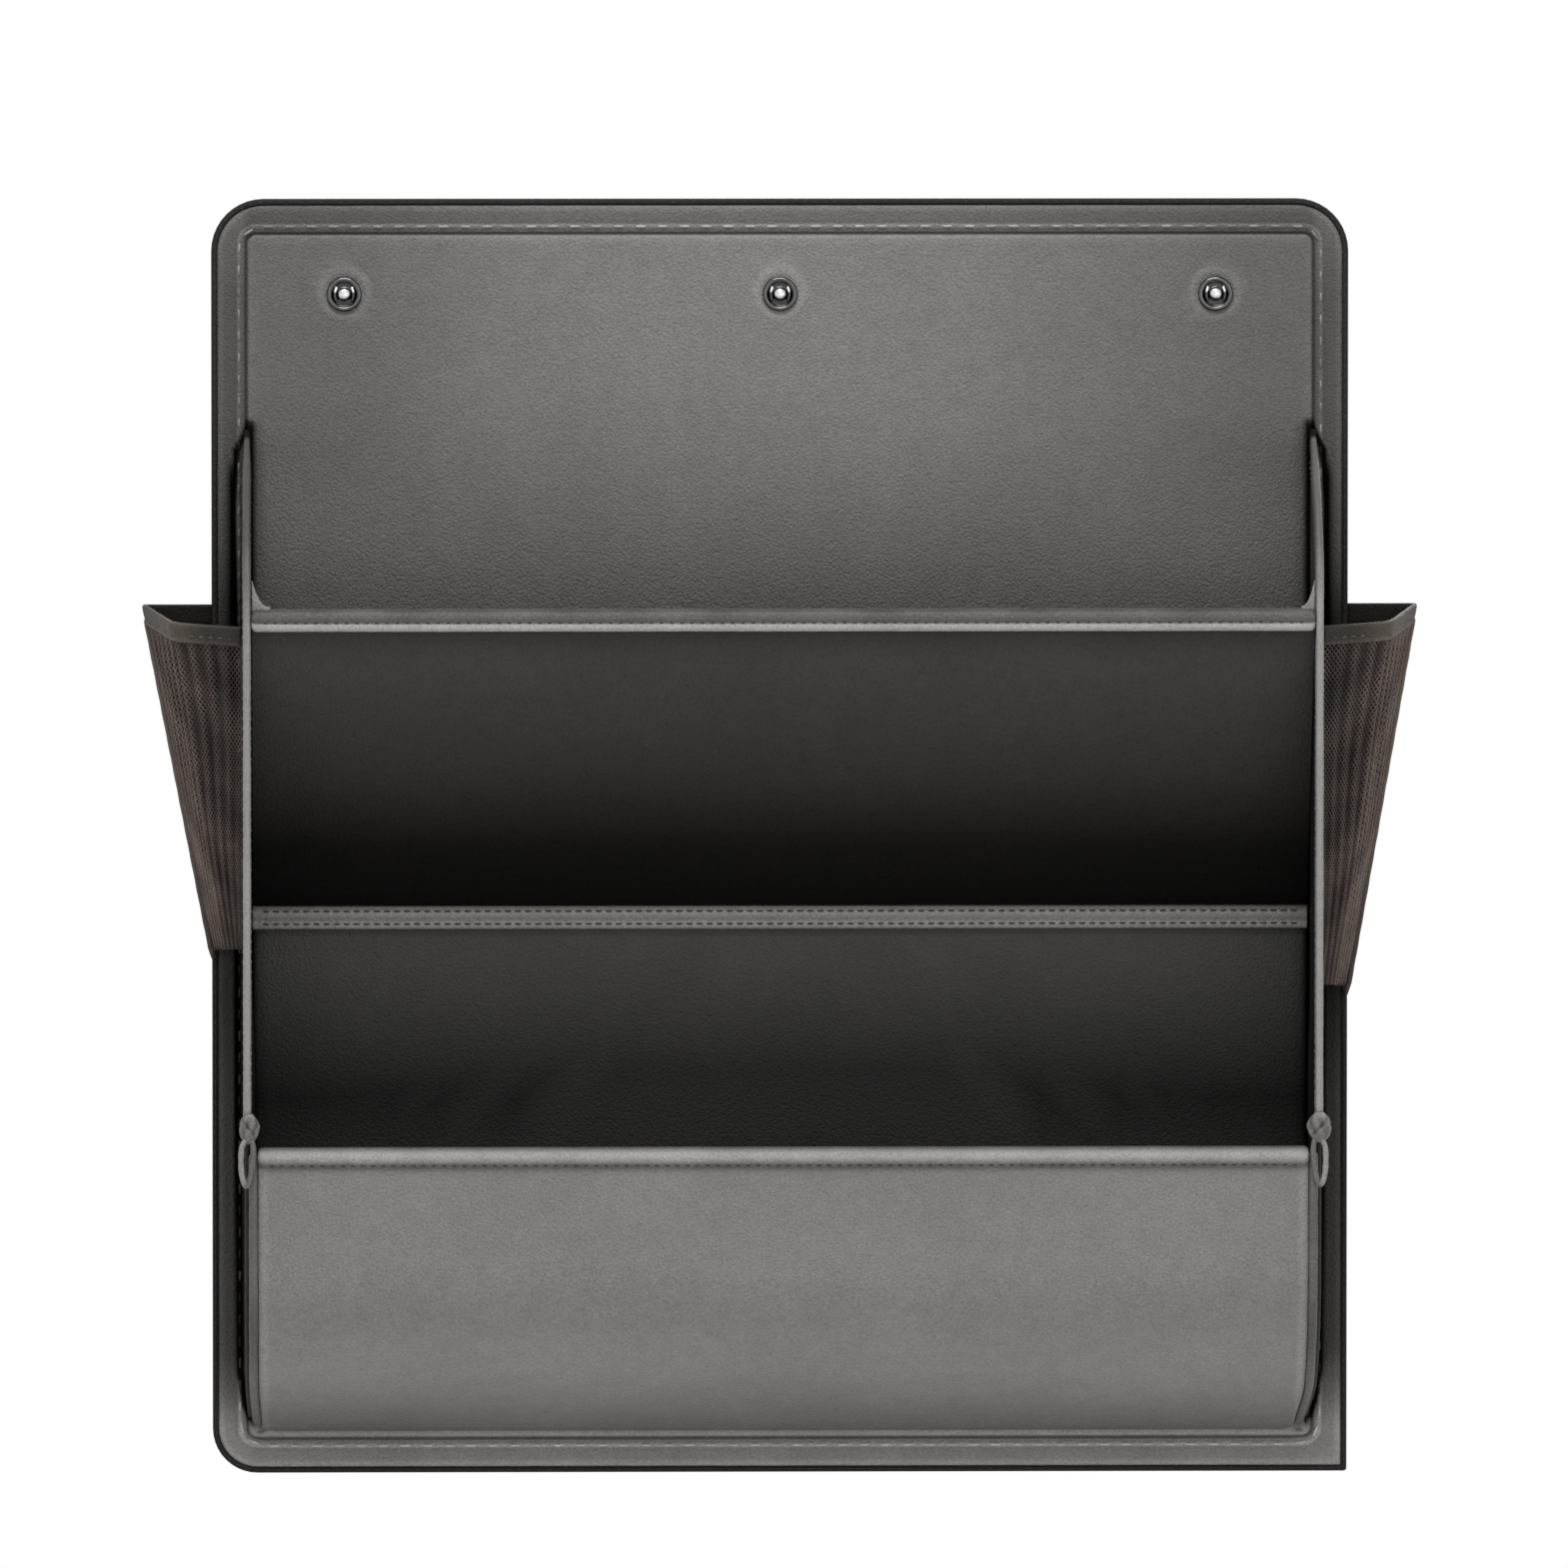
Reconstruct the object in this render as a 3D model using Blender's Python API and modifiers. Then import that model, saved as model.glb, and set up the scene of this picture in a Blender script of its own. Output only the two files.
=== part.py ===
# Hanging pocket organizer: a stiffened leather back panel with a bound edge, two full-width
# pockets between tall side walls, a net pocket outside each wall and three chrome press studs.
# The back panel's rear face is the plane y = 0, its centre is the origin, the front looks to -Y
# and +Z is up. Depth is counted forward from the rear face, so a depth d lies at y = -d.

import math

import bmesh
import bpy
from mathutils import Matrix, Vector

# Back panel
panel_width = 0.520
panel_height = 0.584
top_corner_radius = 0.024
lower_left_corner_radius = 0.0205
lower_right_corner_radius = 0.0015
least_corner_radius = 0.0004
lining_thickness = 0.0010
board_thickness = 0.0026
face_thickness = 0.0016

# Tape round the panel's edge
binding_width = 0.0032
binding_wall = 0.0015
binding_rise = 0.0006
binding_rounding = 0.0009

# Stitched border of the panel's face
groove_inset = 0.0160
groove_width = 0.0014
groove_depth = 0.0008
groove_corner_radius = 0.0045
bead_inset = 0.0126
bead_width = 0.0018
bead_rise = 0.0005

# Side walls
gusset_thickness = 0.0024
gusset_edge_inset = 0.0057
gusset_tip_drop = 0.1030
tip_bend_reach = 0.0780
tip_bend_drop = 0.0370
tip_curve_drop = 0.0660
gusset_binding_width = 0.0042
gusset_binding_tape = 0.0090
gusset_binding_proud = 0.0008
gusset_binding_rounding = 0.0008

# Pockets
pocket_depth = 0.0850
front_face_thickness = 0.0013
front_board_thickness = 0.0014
front_lining_thickness = 0.0013
lip_height = 0.0092
lip_width = 0.0074
lip_rounding = 0.0032
lip_overlap = 0.0040
upper_lip_drop = 0.1873
upper_pocket_height = 0.1335
upper_strip_height = 0.0110
upper_strip_thickness = 0.0020
upper_ear_height = 0.0110
upper_ear_width = 0.0080
upper_ear_thickness = 0.0022
lower_seam_rise = 0.0190
lower_pocket_height = 0.1320
lower_board_height = 0.0490
lower_base_thickness = 0.0029
lower_strip_rise = 0.0046
lower_strip_height = 0.0080
lower_strip_thickness = 0.0015
belly_exponent = 2.3

# Knot and piping at the lower pocket's sides
piping_radius = 0.0027
piping_inset = 0.0018
piping_run_share = 0.972
knot_lobe_radius = 0.0042
knot_height = 0.0180
knot_tube_radius = 0.0015
knot_loop_width = 0.0088
knot_loop_height = 0.0215
knot_loop_tilt = math.radians(-6)
knot_loop_opening = math.radians(38)
knot_lobe_lean = math.radians(18)
knot_lobe_width_share = 0.80
knot_lobe_offset_share = 0.42

# Net pockets
net_mouth_drop = 0.1860
net_front_dip = 0.0045
net_height = 0.1810
net_reach = 0.0315
net_wall_depth = 0.0620
net_fold_reach = 0.0170
net_fold_depth = 0.0500
net_rear_depth = 0.0034
net_toe_reach = 0.0070
net_toe_depth = 0.0050
net_band_height = 0.0105
net_band_thickness = 0.0028
net_slot_depth = 0.0080
net_tuck = 0.0070
net_strand = 0.0010
net_slot_gap = 0.0004
net_piping_radius = 0.0012
net_piping_tail = 0.0050

# Press studs
stud_drop = 0.0435
stud_side_inset = 0.0608
stud_radius = 0.0080
stud_rim_height = 0.0016
stud_rim_width = 0.0022
stud_dish_height = 0.0007
stud_dome_radius = 0.0034
stud_dome_height = 0.0026
stud_shank_radius = 0.0022
stud_washer_radius = 0.0055

# Clearances and the reach of cuts
fit_gap = 0.0003
overrun = 0.0040
weld_distance = 0.00001

# Counts of facets
corner_steps = 6
curve_steps = 10
turn_steps = 32
net_wall_columns = 2
net_side_columns = 3
net_rear_columns = 2
net_rows = 8

# Depths and heights that follow from the sizes above
board_rear = lining_thickness + fit_gap
board_front = board_rear + board_thickness
face_rear = board_front + fit_gap
face_front = face_rear + face_thickness
wall_rear = face_front + fit_gap
front_thickness = front_face_thickness + front_board_thickness + front_lining_thickness + 2 * fit_gap
half_front = front_thickness / 2
panel_top = panel_height / 2
panel_bottom = -panel_height / 2
gusset_x = panel_width / 2 - groove_inset
gusset_inner_x = gusset_x - gusset_thickness / 2
gusset_outer_x = gusset_x + gusset_thickness / 2
upper_half_width = gusset_x - gusset_binding_width / 2 - fit_gap
piping_x = gusset_x - piping_inset
lower_half_width = piping_x - piping_radius - 2 * fit_gap
gusset_tip_z = panel_top - gusset_tip_drop
upper_lip_z = panel_top - upper_lip_drop
upper_axis_z = upper_lip_z - upper_pocket_height
upper_axis_depth = wall_rear + half_front
upper_strip_top = upper_axis_z - half_front - fit_gap
lower_seam_z = panel_bottom + lower_seam_rise
net_mouth_z = panel_top - net_mouth_drop
net_toe_z = net_mouth_z - net_height
lower_lip_z = lower_seam_z + lower_pocket_height
base_top_z = lower_lip_z - lower_board_height
knot_z = lower_lip_z + lip_height / 2 + knot_height / 2 + fit_gap
stud_z = panel_top - stud_drop

material_table = {
    "grey_leather": ((0.205, 0.198, 0.190), 0.55, 0.0),
    "dark_leather": ((0.045, 0.041, 0.039), 0.60, 0.0),
    "pale_binding": ((0.360, 0.350, 0.335), 0.50, 0.0),
    "edge_tape": ((0.030, 0.028, 0.026), 0.55, 0.0),
    "lining_cloth": ((0.022, 0.021, 0.021), 0.90, 0.0),
    "grey_board": ((0.300, 0.280, 0.240), 0.90, 0.0),
    "net_cord": ((0.055, 0.043, 0.040), 0.80, 0.0),
    "chrome": ((0.620, 0.620, 0.630), 0.15, 1.0),
}


def clear_scene():
    for item in list(bpy.data.objects):
        bpy.data.objects.remove(item, do_unlink=True)


def new_collection(name):
    collection = bpy.data.collections.new(name)
    bpy.context.scene.collection.children.link(collection)
    return collection


def new_material(part_name, finish):
    color, roughness, metallic = material_table[finish]
    material = bpy.data.materials.new(part_name + "_" + finish)
    material.use_nodes = True
    shader = material.node_tree.nodes["Principled BSDF"]
    shader.inputs["Base Color"].default_value = (*color, 1.0)
    shader.inputs["Roughness"].default_value = roughness
    shader.inputs["Metallic"].default_value = metallic
    return material


def arc(center, radius, start, end, steps):
    turn = (end - start) / steps
    return [
        (center[0] + radius * math.cos(start + turn * i), center[1] + radius * math.sin(start + turn * i))
        for i in range(steps + 1)
    ]


def bend(start, control, end, steps):
    points = []
    for i in range(steps + 1):
        t = i / steps
        near, middle, far = (1 - t) ** 2, 2 * t * (1 - t), t ** 2
        points.append(tuple(near * a + middle * b + far * c for a, b, c in zip(start, control, end)))
    return points


def rectangle(left, right, low, high):
    return [(left, low), (right, low), (right, high), (left, high)]


def rounded_rectangle(width, height, radii):
    # Radii run from the top right corner, counter-clockwise.
    outline = []
    for index, (side, level) in enumerate([(1, 1), (-1, 1), (-1, -1), (1, -1)]):
        radius = max(radii[index], least_corner_radius)
        center = (side * (width / 2 - radius), level * (height / 2 - radius))
        outline += arc(center, radius, index * math.pi / 2, (index + 1) * math.pi / 2, corner_steps)
    return outline


def panel_outline(inset):
    radii = [top_corner_radius, top_corner_radius, lower_left_corner_radius, lower_right_corner_radius]
    return rounded_rectangle(
        panel_width - 2 * inset, panel_height - 2 * inset, [radius - inset for radius in radii]
    )


def border_outline(inset):
    # The stitched border's corners are tighter than the panel's own.
    radius = groove_corner_radius + groove_inset - inset
    return rounded_rectangle(panel_width - 2 * inset, panel_height - 2 * inset, [radius] * 4)


def welded_mesh(holder):
    # A curve's filled caps are loose, so they are welded here.
    bpy.context.view_layer.update()
    graph = bpy.context.evaluated_depsgraph_get()
    mesh = bpy.data.meshes.new_from_object(holder.evaluated_get(graph))
    shape = bmesh.new()
    shape.from_mesh(mesh)
    bmesh.ops.remove_doubles(shape, verts=shape.verts[:], dist=weld_distance)
    bmesh.ops.recalc_face_normals(shape, faces=shape.faces[:])
    shape.to_mesh(mesh)
    shape.free()
    mesh.transform(holder.matrix_world)
    bpy.data.objects.remove(holder, do_unlink=True)
    return mesh


def filled_outline(name, loops, thickness, placement):
    curve = bpy.data.curves.new(name, "CURVE")
    curve.dimensions = "2D"
    curve.fill_mode = "BOTH"
    curve.extrude = thickness / 2
    for loop in loops:
        spline = curve.splines.new("POLY")
        spline.points.add(len(loop) - 1)
        for point, (across, up) in zip(spline.points, loop):
            point.co = (across, up, 0, 1)
        spline.use_cyclic_u = True
    holder = bpy.data.objects.new(name, curve)
    bpy.context.scene.collection.objects.link(holder)
    holder.matrix_world = placement
    return welded_mesh(holder)


def plate_mesh(name, loops, rear, front):
    # Loops are (x, z) outlines, and the plate fills the depths from rear to front.
    placement = Matrix.Translation((0, -(rear + front) / 2, 0)) @ Matrix.Rotation(math.pi / 2, 4, "X")
    return filled_outline(name, loops, front - rear, placement)


def section_mesh(name, outline, left, right):
    # The outline is (depth, z), and the solid fills x from left to right.
    upright = Matrix(((0, 0, -1, (left + right) / 2), (-1, 0, 0, 0), (0, 1, 0, 0), (0, 0, 0, 1)))
    return filled_outline(name, [outline], right - left, upright)


def tube_mesh(name, points, radius, resolution):
    curve = bpy.data.curves.new(name, "CURVE")
    curve.dimensions = "3D"
    curve.bevel_depth = radius
    curve.bevel_resolution = resolution
    curve.use_fill_caps = True
    spline = curve.splines.new("POLY")
    spline.points.add(len(points) - 1)
    for point, place in zip(spline.points, points):
        point.co = (*place, 1)
    holder = bpy.data.objects.new(name, curve)
    bpy.context.scene.collection.objects.link(holder)
    return welded_mesh(holder)


def add_part(name, mesh, finish, parent=None):
    part = bpy.data.objects.new(name, mesh)
    parts.objects.link(part)
    mesh.materials.clear()
    mesh.materials.append(new_material(name, finish))
    if parent:
        part.parent = parent
        part.matrix_parent_inverse = parent.matrix_world.inverted()
    return part


def add_cutter(name, mesh):
    cutter = bpy.data.objects.new(name, mesh)
    cutters.objects.link(cutter)
    cutter.hide_render = True
    cutter.display_type = "WIRE"
    return cutter


def boolean(part, cutter, operation):
    step = part.modifiers.new(cutter.name, "BOOLEAN")
    step.operation = operation
    step.solver = "EXACT"
    step.object = cutter


def round_edges(part, width, segments):
    step = part.modifiers.new("rounded_edges", "BEVEL")
    step.width = width
    step.segments = segments
    step.limit_method = "ANGLE"
    step.angle_limit = math.radians(50)


def shade_round(part):
    part.data.shade_smooth()
    part.data.set_sharp_from_angle(angle=math.radians(40))


def stud_places():
    pitch = panel_width / 2 - stud_side_inset
    return {"left": -pitch, "centre": 0, "right": pitch}


def drill(name, x, radius, rear, front):
    shape = bmesh.new()
    middle = Matrix.Translation((x, -(rear + front) / 2, stud_z))
    bmesh.ops.create_cone(
        shape, cap_ends=True, segments=turn_steps, radius1=radius, radius2=radius,
        depth=front - rear, matrix=middle @ Matrix.Rotation(math.pi / 2, 4, "X"),
    )
    mesh = bpy.data.meshes.new(name)
    shape.to_mesh(mesh)
    shape.free()
    return add_cutter(name, mesh)


def nested_mesh(name, rings, closed):
    # Joins nested outlines, each given with its depth. The ends are filled unless they close on each other.
    shape = bmesh.new()
    loops = [[shape.verts.new((across, -depth, up)) for across, up in outline] for outline, depth in rings]
    for near, far in zip(loops, loops[1:] + loops[:1] if closed else loops[1:]):
        for i in range(len(near)):
            after = (i + 1) % len(near)
            shape.faces.new((near[i], near[after], far[after], far[i]))
    if not closed:
        shape.faces.new(loops[0])
        shape.faces.new(loops[-1])
    bmesh.ops.recalc_face_normals(shape, faces=shape.faces[:])
    mesh = bpy.data.meshes.new(name)
    shape.to_mesh(mesh)
    shape.free()
    return mesh


def make_back_panel():
    board_outline = panel_outline(binding_wall + fit_gap)
    board_mesh = plate_mesh("back_board", [board_outline], board_rear, board_front)
    board = add_part("back_board", board_mesh, "grey_board")
    sheet_outline = panel_outline(binding_width + fit_gap)
    lining_mesh = plate_mesh("rear_lining", [sheet_outline], 0, lining_thickness)
    lining = add_part("rear_lining", lining_mesh, "lining_cloth")

    bead_top = face_front + bead_rise
    groove_floor = face_front - groove_depth
    rings = [
        (sheet_outline, face_rear),
        (sheet_outline, face_front),
        (border_outline(bead_inset - bead_width / 2), face_front),
        (border_outline(bead_inset - bead_width / 4), bead_top),
        (border_outline(bead_inset + bead_width / 4), bead_top),
        (border_outline(bead_inset + bead_width / 2), face_front),
        (border_outline(groove_inset - groove_width / 2), face_front),
        (border_outline(groove_inset - groove_width / 2), groove_floor),
        (border_outline(groove_inset + groove_width / 2), groove_floor),
        (border_outline(groove_inset + groove_width / 2), face_front),
    ]
    face = add_part("face_leather", nested_mesh("face_leather", rings, False), "grey_leather")

    washer_seat_front = lining_thickness + fit_gap / 2
    for side, x in stud_places().items():
        hole = drill("stud_hole_" + side, x, stud_shank_radius + fit_gap, -overrun, face_front + overrun)
        seat_radius = stud_washer_radius + fit_gap
        washer_seat = drill("washer_seat_" + side, x, seat_radius, -overrun, washer_seat_front)
        boolean(board, hole, "DIFFERENCE")
        boolean(face, hole, "DIFFERENCE")
        boolean(lining, washer_seat, "DIFFERENCE")


def make_edge_binding():
    # A channel that holds the board's edge, with its two outer edges rounded.
    front = face_front + binding_rise
    round_steps = corner_steps // 2
    rear_center = (binding_rounding, binding_rounding)
    front_center = (binding_rounding, front - binding_rounding)
    rear_edge = arc(rear_center, binding_rounding, 3 * math.pi / 2, math.pi, round_steps)
    front_edge = arc(front_center, binding_rounding, math.pi, math.pi / 2, round_steps)
    lip_edge = [
        (binding_width - binding_rise, front),
        (binding_width, front - binding_rise),
        (binding_width, board_front + fit_gap),
        (binding_wall, board_front + fit_gap),
        (binding_wall, board_rear - fit_gap),
        (binding_width, board_rear - fit_gap),
        (binding_width, 0),
    ]
    rings = [(panel_outline(inset), depth) for inset, depth in rear_edge + front_edge + lip_edge]
    shade_round(add_part("edge_binding", nested_mesh("edge_binding", rings, True), "edge_tape"))


def make_studs():
    rim_base = face_front + fit_gap
    dish = rim_base + stud_dish_height
    rim_inner = stud_radius - stud_rim_width
    rim_middle = stud_radius - stud_rim_width / 2
    rim_arc = arc((rim_middle, rim_base), stud_rim_width / 2, 0, math.pi, corner_steps)
    rim_stretch = 2 * stud_rim_height / stud_rim_width
    rim = [(across, rim_base + (up - rim_base) * rim_stretch) for across, up in rim_arc]
    dome = [
        (stud_dome_radius * math.cos(angle), dish + stud_dome_height * math.sin(angle))
        for angle in [math.pi / 2 * i / corner_steps for i in range(corner_steps + 1)]
    ]
    head = [(0, dome[-1][1])] + dome[-2::-1] + [(rim_inner - stud_dish_height, dish)] + rim[-2::-1]
    shank = [(stud_shank_radius, rim_base), (stud_shank_radius, fit_gap), (0, fit_gap)]
    for side, x in stud_places().items():
        mesh = turned_mesh("stud_" + side, head + shank, x)
        shade_round(add_part("stud_" + side, mesh, "chrome"))
        ring = [
            (stud_shank_radius + fit_gap, lining_thickness),
            (stud_washer_radius, lining_thickness),
            (stud_washer_radius, fit_gap),
            (stud_shank_radius + fit_gap, fit_gap),
        ]
        washer = turned_mesh("stud_washer_" + side, ring + ring[:1], x)
        shade_round(add_part("stud_washer_" + side, washer, "chrome"))


def turned_mesh(name, profile, x):
    # The profile is (radius, depth), turned about a stud's axis.
    shape = bmesh.new()
    places = [shape.verts.new((radius, -depth, 0)) for radius, depth in profile]
    for near, far in zip(places, places[1:]):
        shape.edges.new((near, far))
    bmesh.ops.spin(
        shape, geom=shape.verts[:] + shape.edges[:], cent=(0, 0, 0), axis=(0, 1, 0),
        angle=2 * math.pi, steps=turn_steps, use_merge=True, use_duplicate=False,
    )
    bmesh.ops.remove_doubles(shape, verts=shape.verts[:], dist=weld_distance)
    bmesh.ops.recalc_face_normals(shape, faces=shape.faces[:])
    mesh = bpy.data.meshes.new(name)
    shape.to_mesh(mesh)
    shape.free()
    mesh.transform(Matrix.Translation((x, 0, stud_z)))
    return mesh


def side_edge(inset):
    # The side wall's front edge as (depth, z), from its tip down to the lower board's bottom.
    front = pocket_depth - inset
    tip = (wall_rear, gusset_tip_z - 1.6 * inset)
    control = (tip_bend_reach - inset, gusset_tip_z - tip_bend_drop - inset)
    return bend(tip, control, (front, gusset_tip_z - tip_curve_drop), curve_steps) + [(front, base_top_z)]


def belly_edge(inset, run_share=1):
    # The lower pocket's curved bottom as (depth, z), from the board's bottom edge to the seam.
    reach = pocket_depth - wall_rear
    drop = base_top_z - lower_seam_z
    points = []
    for i in range(curve_steps + 1):
        t = run_share * math.sin(math.pi / 2 * i / curve_steps)
        slope = Vector((-reach * belly_exponent * t ** (belly_exponent - 1), -drop)).normalized()
        depth = wall_rear + reach * (1 - t ** belly_exponent) + slope.y * inset
        z = base_top_z - drop * t - slope.x * inset
        if depth < wall_rear:
            last_depth, last_z = points[-1]
            share = (last_depth - wall_rear) / (last_depth - depth)
            points.append((wall_rear, last_z + (z - last_z) * share))
            break
        points.append((depth, z))
    return points


def make_gussets():
    outline = side_edge(gusset_edge_inset) + belly_edge(gusset_edge_inset)[1:]
    tape_outer = side_edge(-gusset_binding_proud)[:-1]
    tape_inner = side_edge(gusset_binding_tape)[:-1]
    tape_end = knot_z + knot_height / 2 + fit_gap
    tape_foot = [(tape_outer[-1][0], tape_end), (tape_inner[-1][0], tape_end)]
    tape_outline = tape_outer + tape_foot + tape_inner[::-1]
    slot_edge = side_edge(gusset_edge_inset - fit_gap)
    slot_outline = slot_edge + [(wall_rear - overrun, base_top_z), (wall_rear - overrun, slot_edge[0][1])]
    half_slot = gusset_thickness / 2 + fit_gap
    for side, sign in (("left", -1), ("right", 1)):
        x = sign * gusset_x
        name = side + "_gusset"
        sheet = section_mesh(name, outline, x - gusset_thickness / 2, x + gusset_thickness / 2)
        add_part(name, sheet, "dark_leather")
        tape_name = name + "_binding"
        half_tape = gusset_binding_width / 2
        tape_mesh = section_mesh(tape_name, tape_outline, x - half_tape, x + half_tape)
        tape = add_part(tape_name, tape_mesh, "pale_binding")
        round_edges(tape, gusset_binding_rounding, 2)
        slot_name = side + "_binding_slot"
        slot = add_cutter(slot_name, section_mesh(slot_name, slot_outline, x - half_slot, x + half_slot))
        boolean(tape, slot, "DIFFERENCE")
        shade_round(tape)


def slab_layer(near, far, low, high):
    # A flat layer of a pocket front, in (depth, z) about the front's own foot, standing upright.
    return rectangle(near, far, low, high)


def lip_outline(middle, low, turned_slab):
    # A rounded hem with a slot below for the front that it wraps.
    half = lip_width / 2
    slot_half = front_thickness / 2 + fit_gap
    top = low + lip_height
    slot_top = low + lip_overlap
    round_z = top - lip_rounding
    outline = [(-slot_half, low), (-slot_half, slot_top), (slot_half, slot_top), (slot_half, low)]
    outline += [(half, low)]
    outline += arc((half - lip_rounding, round_z), lip_rounding, 0, math.pi / 2, corner_steps)
    outline += arc((lip_rounding - half, round_z), lip_rounding, math.pi / 2, math.pi, corner_steps)
    outline += [(-half, low)]
    return [turned_slab((middle + depth, z)) for depth, z in outline]


def make_upper_front():
    lean = math.atan2(pocket_depth - half_front - upper_axis_depth, upper_pocket_height)
    length = math.hypot(pocket_depth - half_front - upper_axis_depth, upper_pocket_height)
    slab_top = length + lip_overlap - lip_height / 2 - fit_gap

    def leaned(point):
        across, along = point
        depth = upper_axis_depth + across * math.cos(lean) + along * math.sin(lean)
        return (depth, upper_axis_z - across * math.sin(lean) + along * math.cos(lean))

    hinge = bpy.data.objects.new("upper_fold_axis", None)
    parts.objects.link(hinge)
    hinge.location = (0, -upper_axis_depth, upper_axis_z)
    bpy.context.view_layer.update()

    face_inner = half_front - front_face_thickness
    board_half = front_board_thickness / 2
    lining_near = -half_front
    lining_far = -half_front + front_lining_thickness
    foot_outer = arc((0, 0), half_front, 0, -math.pi, corner_steps)
    foot_inner = arc((0, 0), face_inner, -math.pi, 0, corner_steps)
    sections = {
        "upper_front_face": (
            [(face_inner, slab_top), (half_front, slab_top)] + foot_outer + foot_inner, "dark_leather"),
        "upper_front_board": (slab_layer(-board_half, board_half, 0, slab_top), "grey_board"),
        "upper_front_lining": (slab_layer(lining_near, lining_far, fit_gap, slab_top), "lining_cloth"),
    }
    for name, (outline, finish) in sections.items():
        mesh = section_mesh(name, [leaned(point) for point in outline], -upper_half_width, upper_half_width)
        add_part(name, mesh, finish, hinge)

    lip_low = length - lip_height / 2
    outline = lip_outline(0, lip_low, leaned)
    lip_mesh = section_mesh("upper_lip", outline, -upper_half_width, upper_half_width)
    lip = add_part("upper_lip", lip_mesh, "grey_leather", hinge)
    lip_top = leaned((0, lip_low + lip_height))
    for side, sign in (("left", -1), ("right", 1)):
        outer = sign * upper_half_width
        inner = outer - sign * upper_ear_width
        foot = lip_top[1] - lip_height / 2
        ear = [(outer, foot), (outer, lip_top[1] + upper_ear_height), (inner, lip_top[1]), (inner, foot)]
        rear = lip_top[0] - upper_ear_thickness / 2
        name = "lip_ear_" + side
        boolean(lip, add_cutter(name, plate_mesh(name, [ear], rear, rear + upper_ear_thickness)), "UNION")
    shade_round(lip)

    strip_low = upper_strip_top - upper_strip_height
    strip = rectangle(wall_rear, wall_rear + upper_strip_thickness, strip_low, upper_strip_top)
    mesh = section_mesh("upper_seam_strip", strip, -upper_half_width, upper_half_width)
    add_part("upper_seam_strip", mesh, "dark_leather")


def make_lower_front():
    slide = bpy.data.objects.new("lower_slide_axis", None)
    parts.objects.link(slide)
    slide.location = (0, -pocket_depth, lower_lip_z)
    bpy.context.view_layer.update()

    middle = pocket_depth - half_front
    slab_top = lower_lip_z - lip_height / 2 + lip_overlap - fit_gap
    slab_low = base_top_z + fit_gap
    face_near = pocket_depth - front_face_thickness
    lining_near = pocket_depth - front_thickness
    lining_far = lining_near + front_lining_thickness
    board_near = middle - front_board_thickness / 2
    board_far = middle + front_board_thickness / 2
    layers = {
        "lower_front_face": (face_near, pocket_depth, "grey_leather"),
        "lower_front_board": (board_near, board_far, "grey_board"),
        "lower_front_lining": (lining_near, lining_far, "lining_cloth"),
    }
    for name, (near, far, finish) in layers.items():
        outline = slab_layer(near, far, slab_low, slab_top)
        add_part(name, section_mesh(name, outline, -lower_half_width, lower_half_width), finish, slide)

    outline = lip_outline(middle, lower_lip_z - lip_height / 2, lambda point: point)
    lip_mesh = section_mesh("lower_lip", outline, -lower_half_width, lower_half_width)
    shade_round(add_part("lower_lip", lip_mesh, "grey_leather", slide))

    outer = belly_edge(0)
    inner = belly_edge(lower_base_thickness)
    base = section_mesh("lower_base", outer + inner[::-1], -lower_half_width, lower_half_width)
    shade_round(add_part("lower_base", base, "grey_leather"))

    strip_low = lower_seam_z + lower_strip_rise
    strip = rectangle(
        wall_rear, wall_rear + lower_strip_thickness, strip_low, strip_low + lower_strip_height
    )
    mesh = section_mesh("lower_seam_strip", strip, -lower_half_width, lower_half_width)
    add_part("lower_seam_strip", mesh, "dark_leather")


def make_seam_pipings():
    start_z = lower_lip_z - lip_height / 2
    belly = belly_edge(piping_radius, piping_run_share)
    route = [(belly[0][0], start_z)] + belly
    for side, sign in (("left", -1), ("right", 1)):
        name = side + "_seam_piping"
        points = [(sign * piping_x, -depth, z) for depth, z in route]
        shade_round(add_part(name, tube_mesh(name, points, piping_radius, 2), "grey_leather"))


def make_corner_knots():
    # A gathered bud of two lobes, with a loop of the same tape hanging from it in front.
    bud_depth = pocket_depth - fit_gap
    loop_depth = pocket_depth + knot_tube_radius + fit_gap
    loop_low = knot_z - knot_height / 2 - knot_loop_height + knot_tube_radius
    loop_middle = (knot_z + loop_low) / 2
    loop_half = (knot_z - loop_low) / 2
    half_width = knot_loop_width / 2 - knot_tube_radius
    for side, sign in (("left", -1), ("right", 1)):
        name = side + "_corner_knot"
        points = []
        for across, up in arc((0, 0), 1, knot_loop_opening, 2 * math.pi - knot_loop_opening, turn_steps):
            x = half_width * up + loop_half * math.sin(knot_loop_tilt) * across
            points.append((sign * (gusset_x + x), -loop_depth, loop_middle + loop_half * across))
        knot = add_part(name, tube_mesh(name, points, knot_tube_radius, 1), "grey_leather")
        for lobe, offset in (("inner", -1), ("outer", 1)):
            lobe_name = side + "_knot_lobe_" + lobe
            shape = bmesh.new()
            bmesh.ops.create_uvsphere(shape, u_segments=12, v_segments=8, radius=knot_lobe_radius)
            mesh = bpy.data.meshes.new(lobe_name)
            shape.to_mesh(mesh)
            shape.free()
            height_share = knot_height / 2 / knot_lobe_radius
            squeeze = Matrix.Diagonal((knot_lobe_width_share, 1, height_share, 1))
            lean = Matrix.Rotation(knot_lobe_lean * offset, 4, "Y")
            across = sign * gusset_x + offset * knot_lobe_radius * knot_lobe_offset_share
            mesh.transform(Matrix.Translation((across, -bud_depth, knot_z)) @ lean @ squeeze)
            boolean(knot, add_cutter(lobe_name, mesh), "UNION")
        shade_round(knot)


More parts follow.
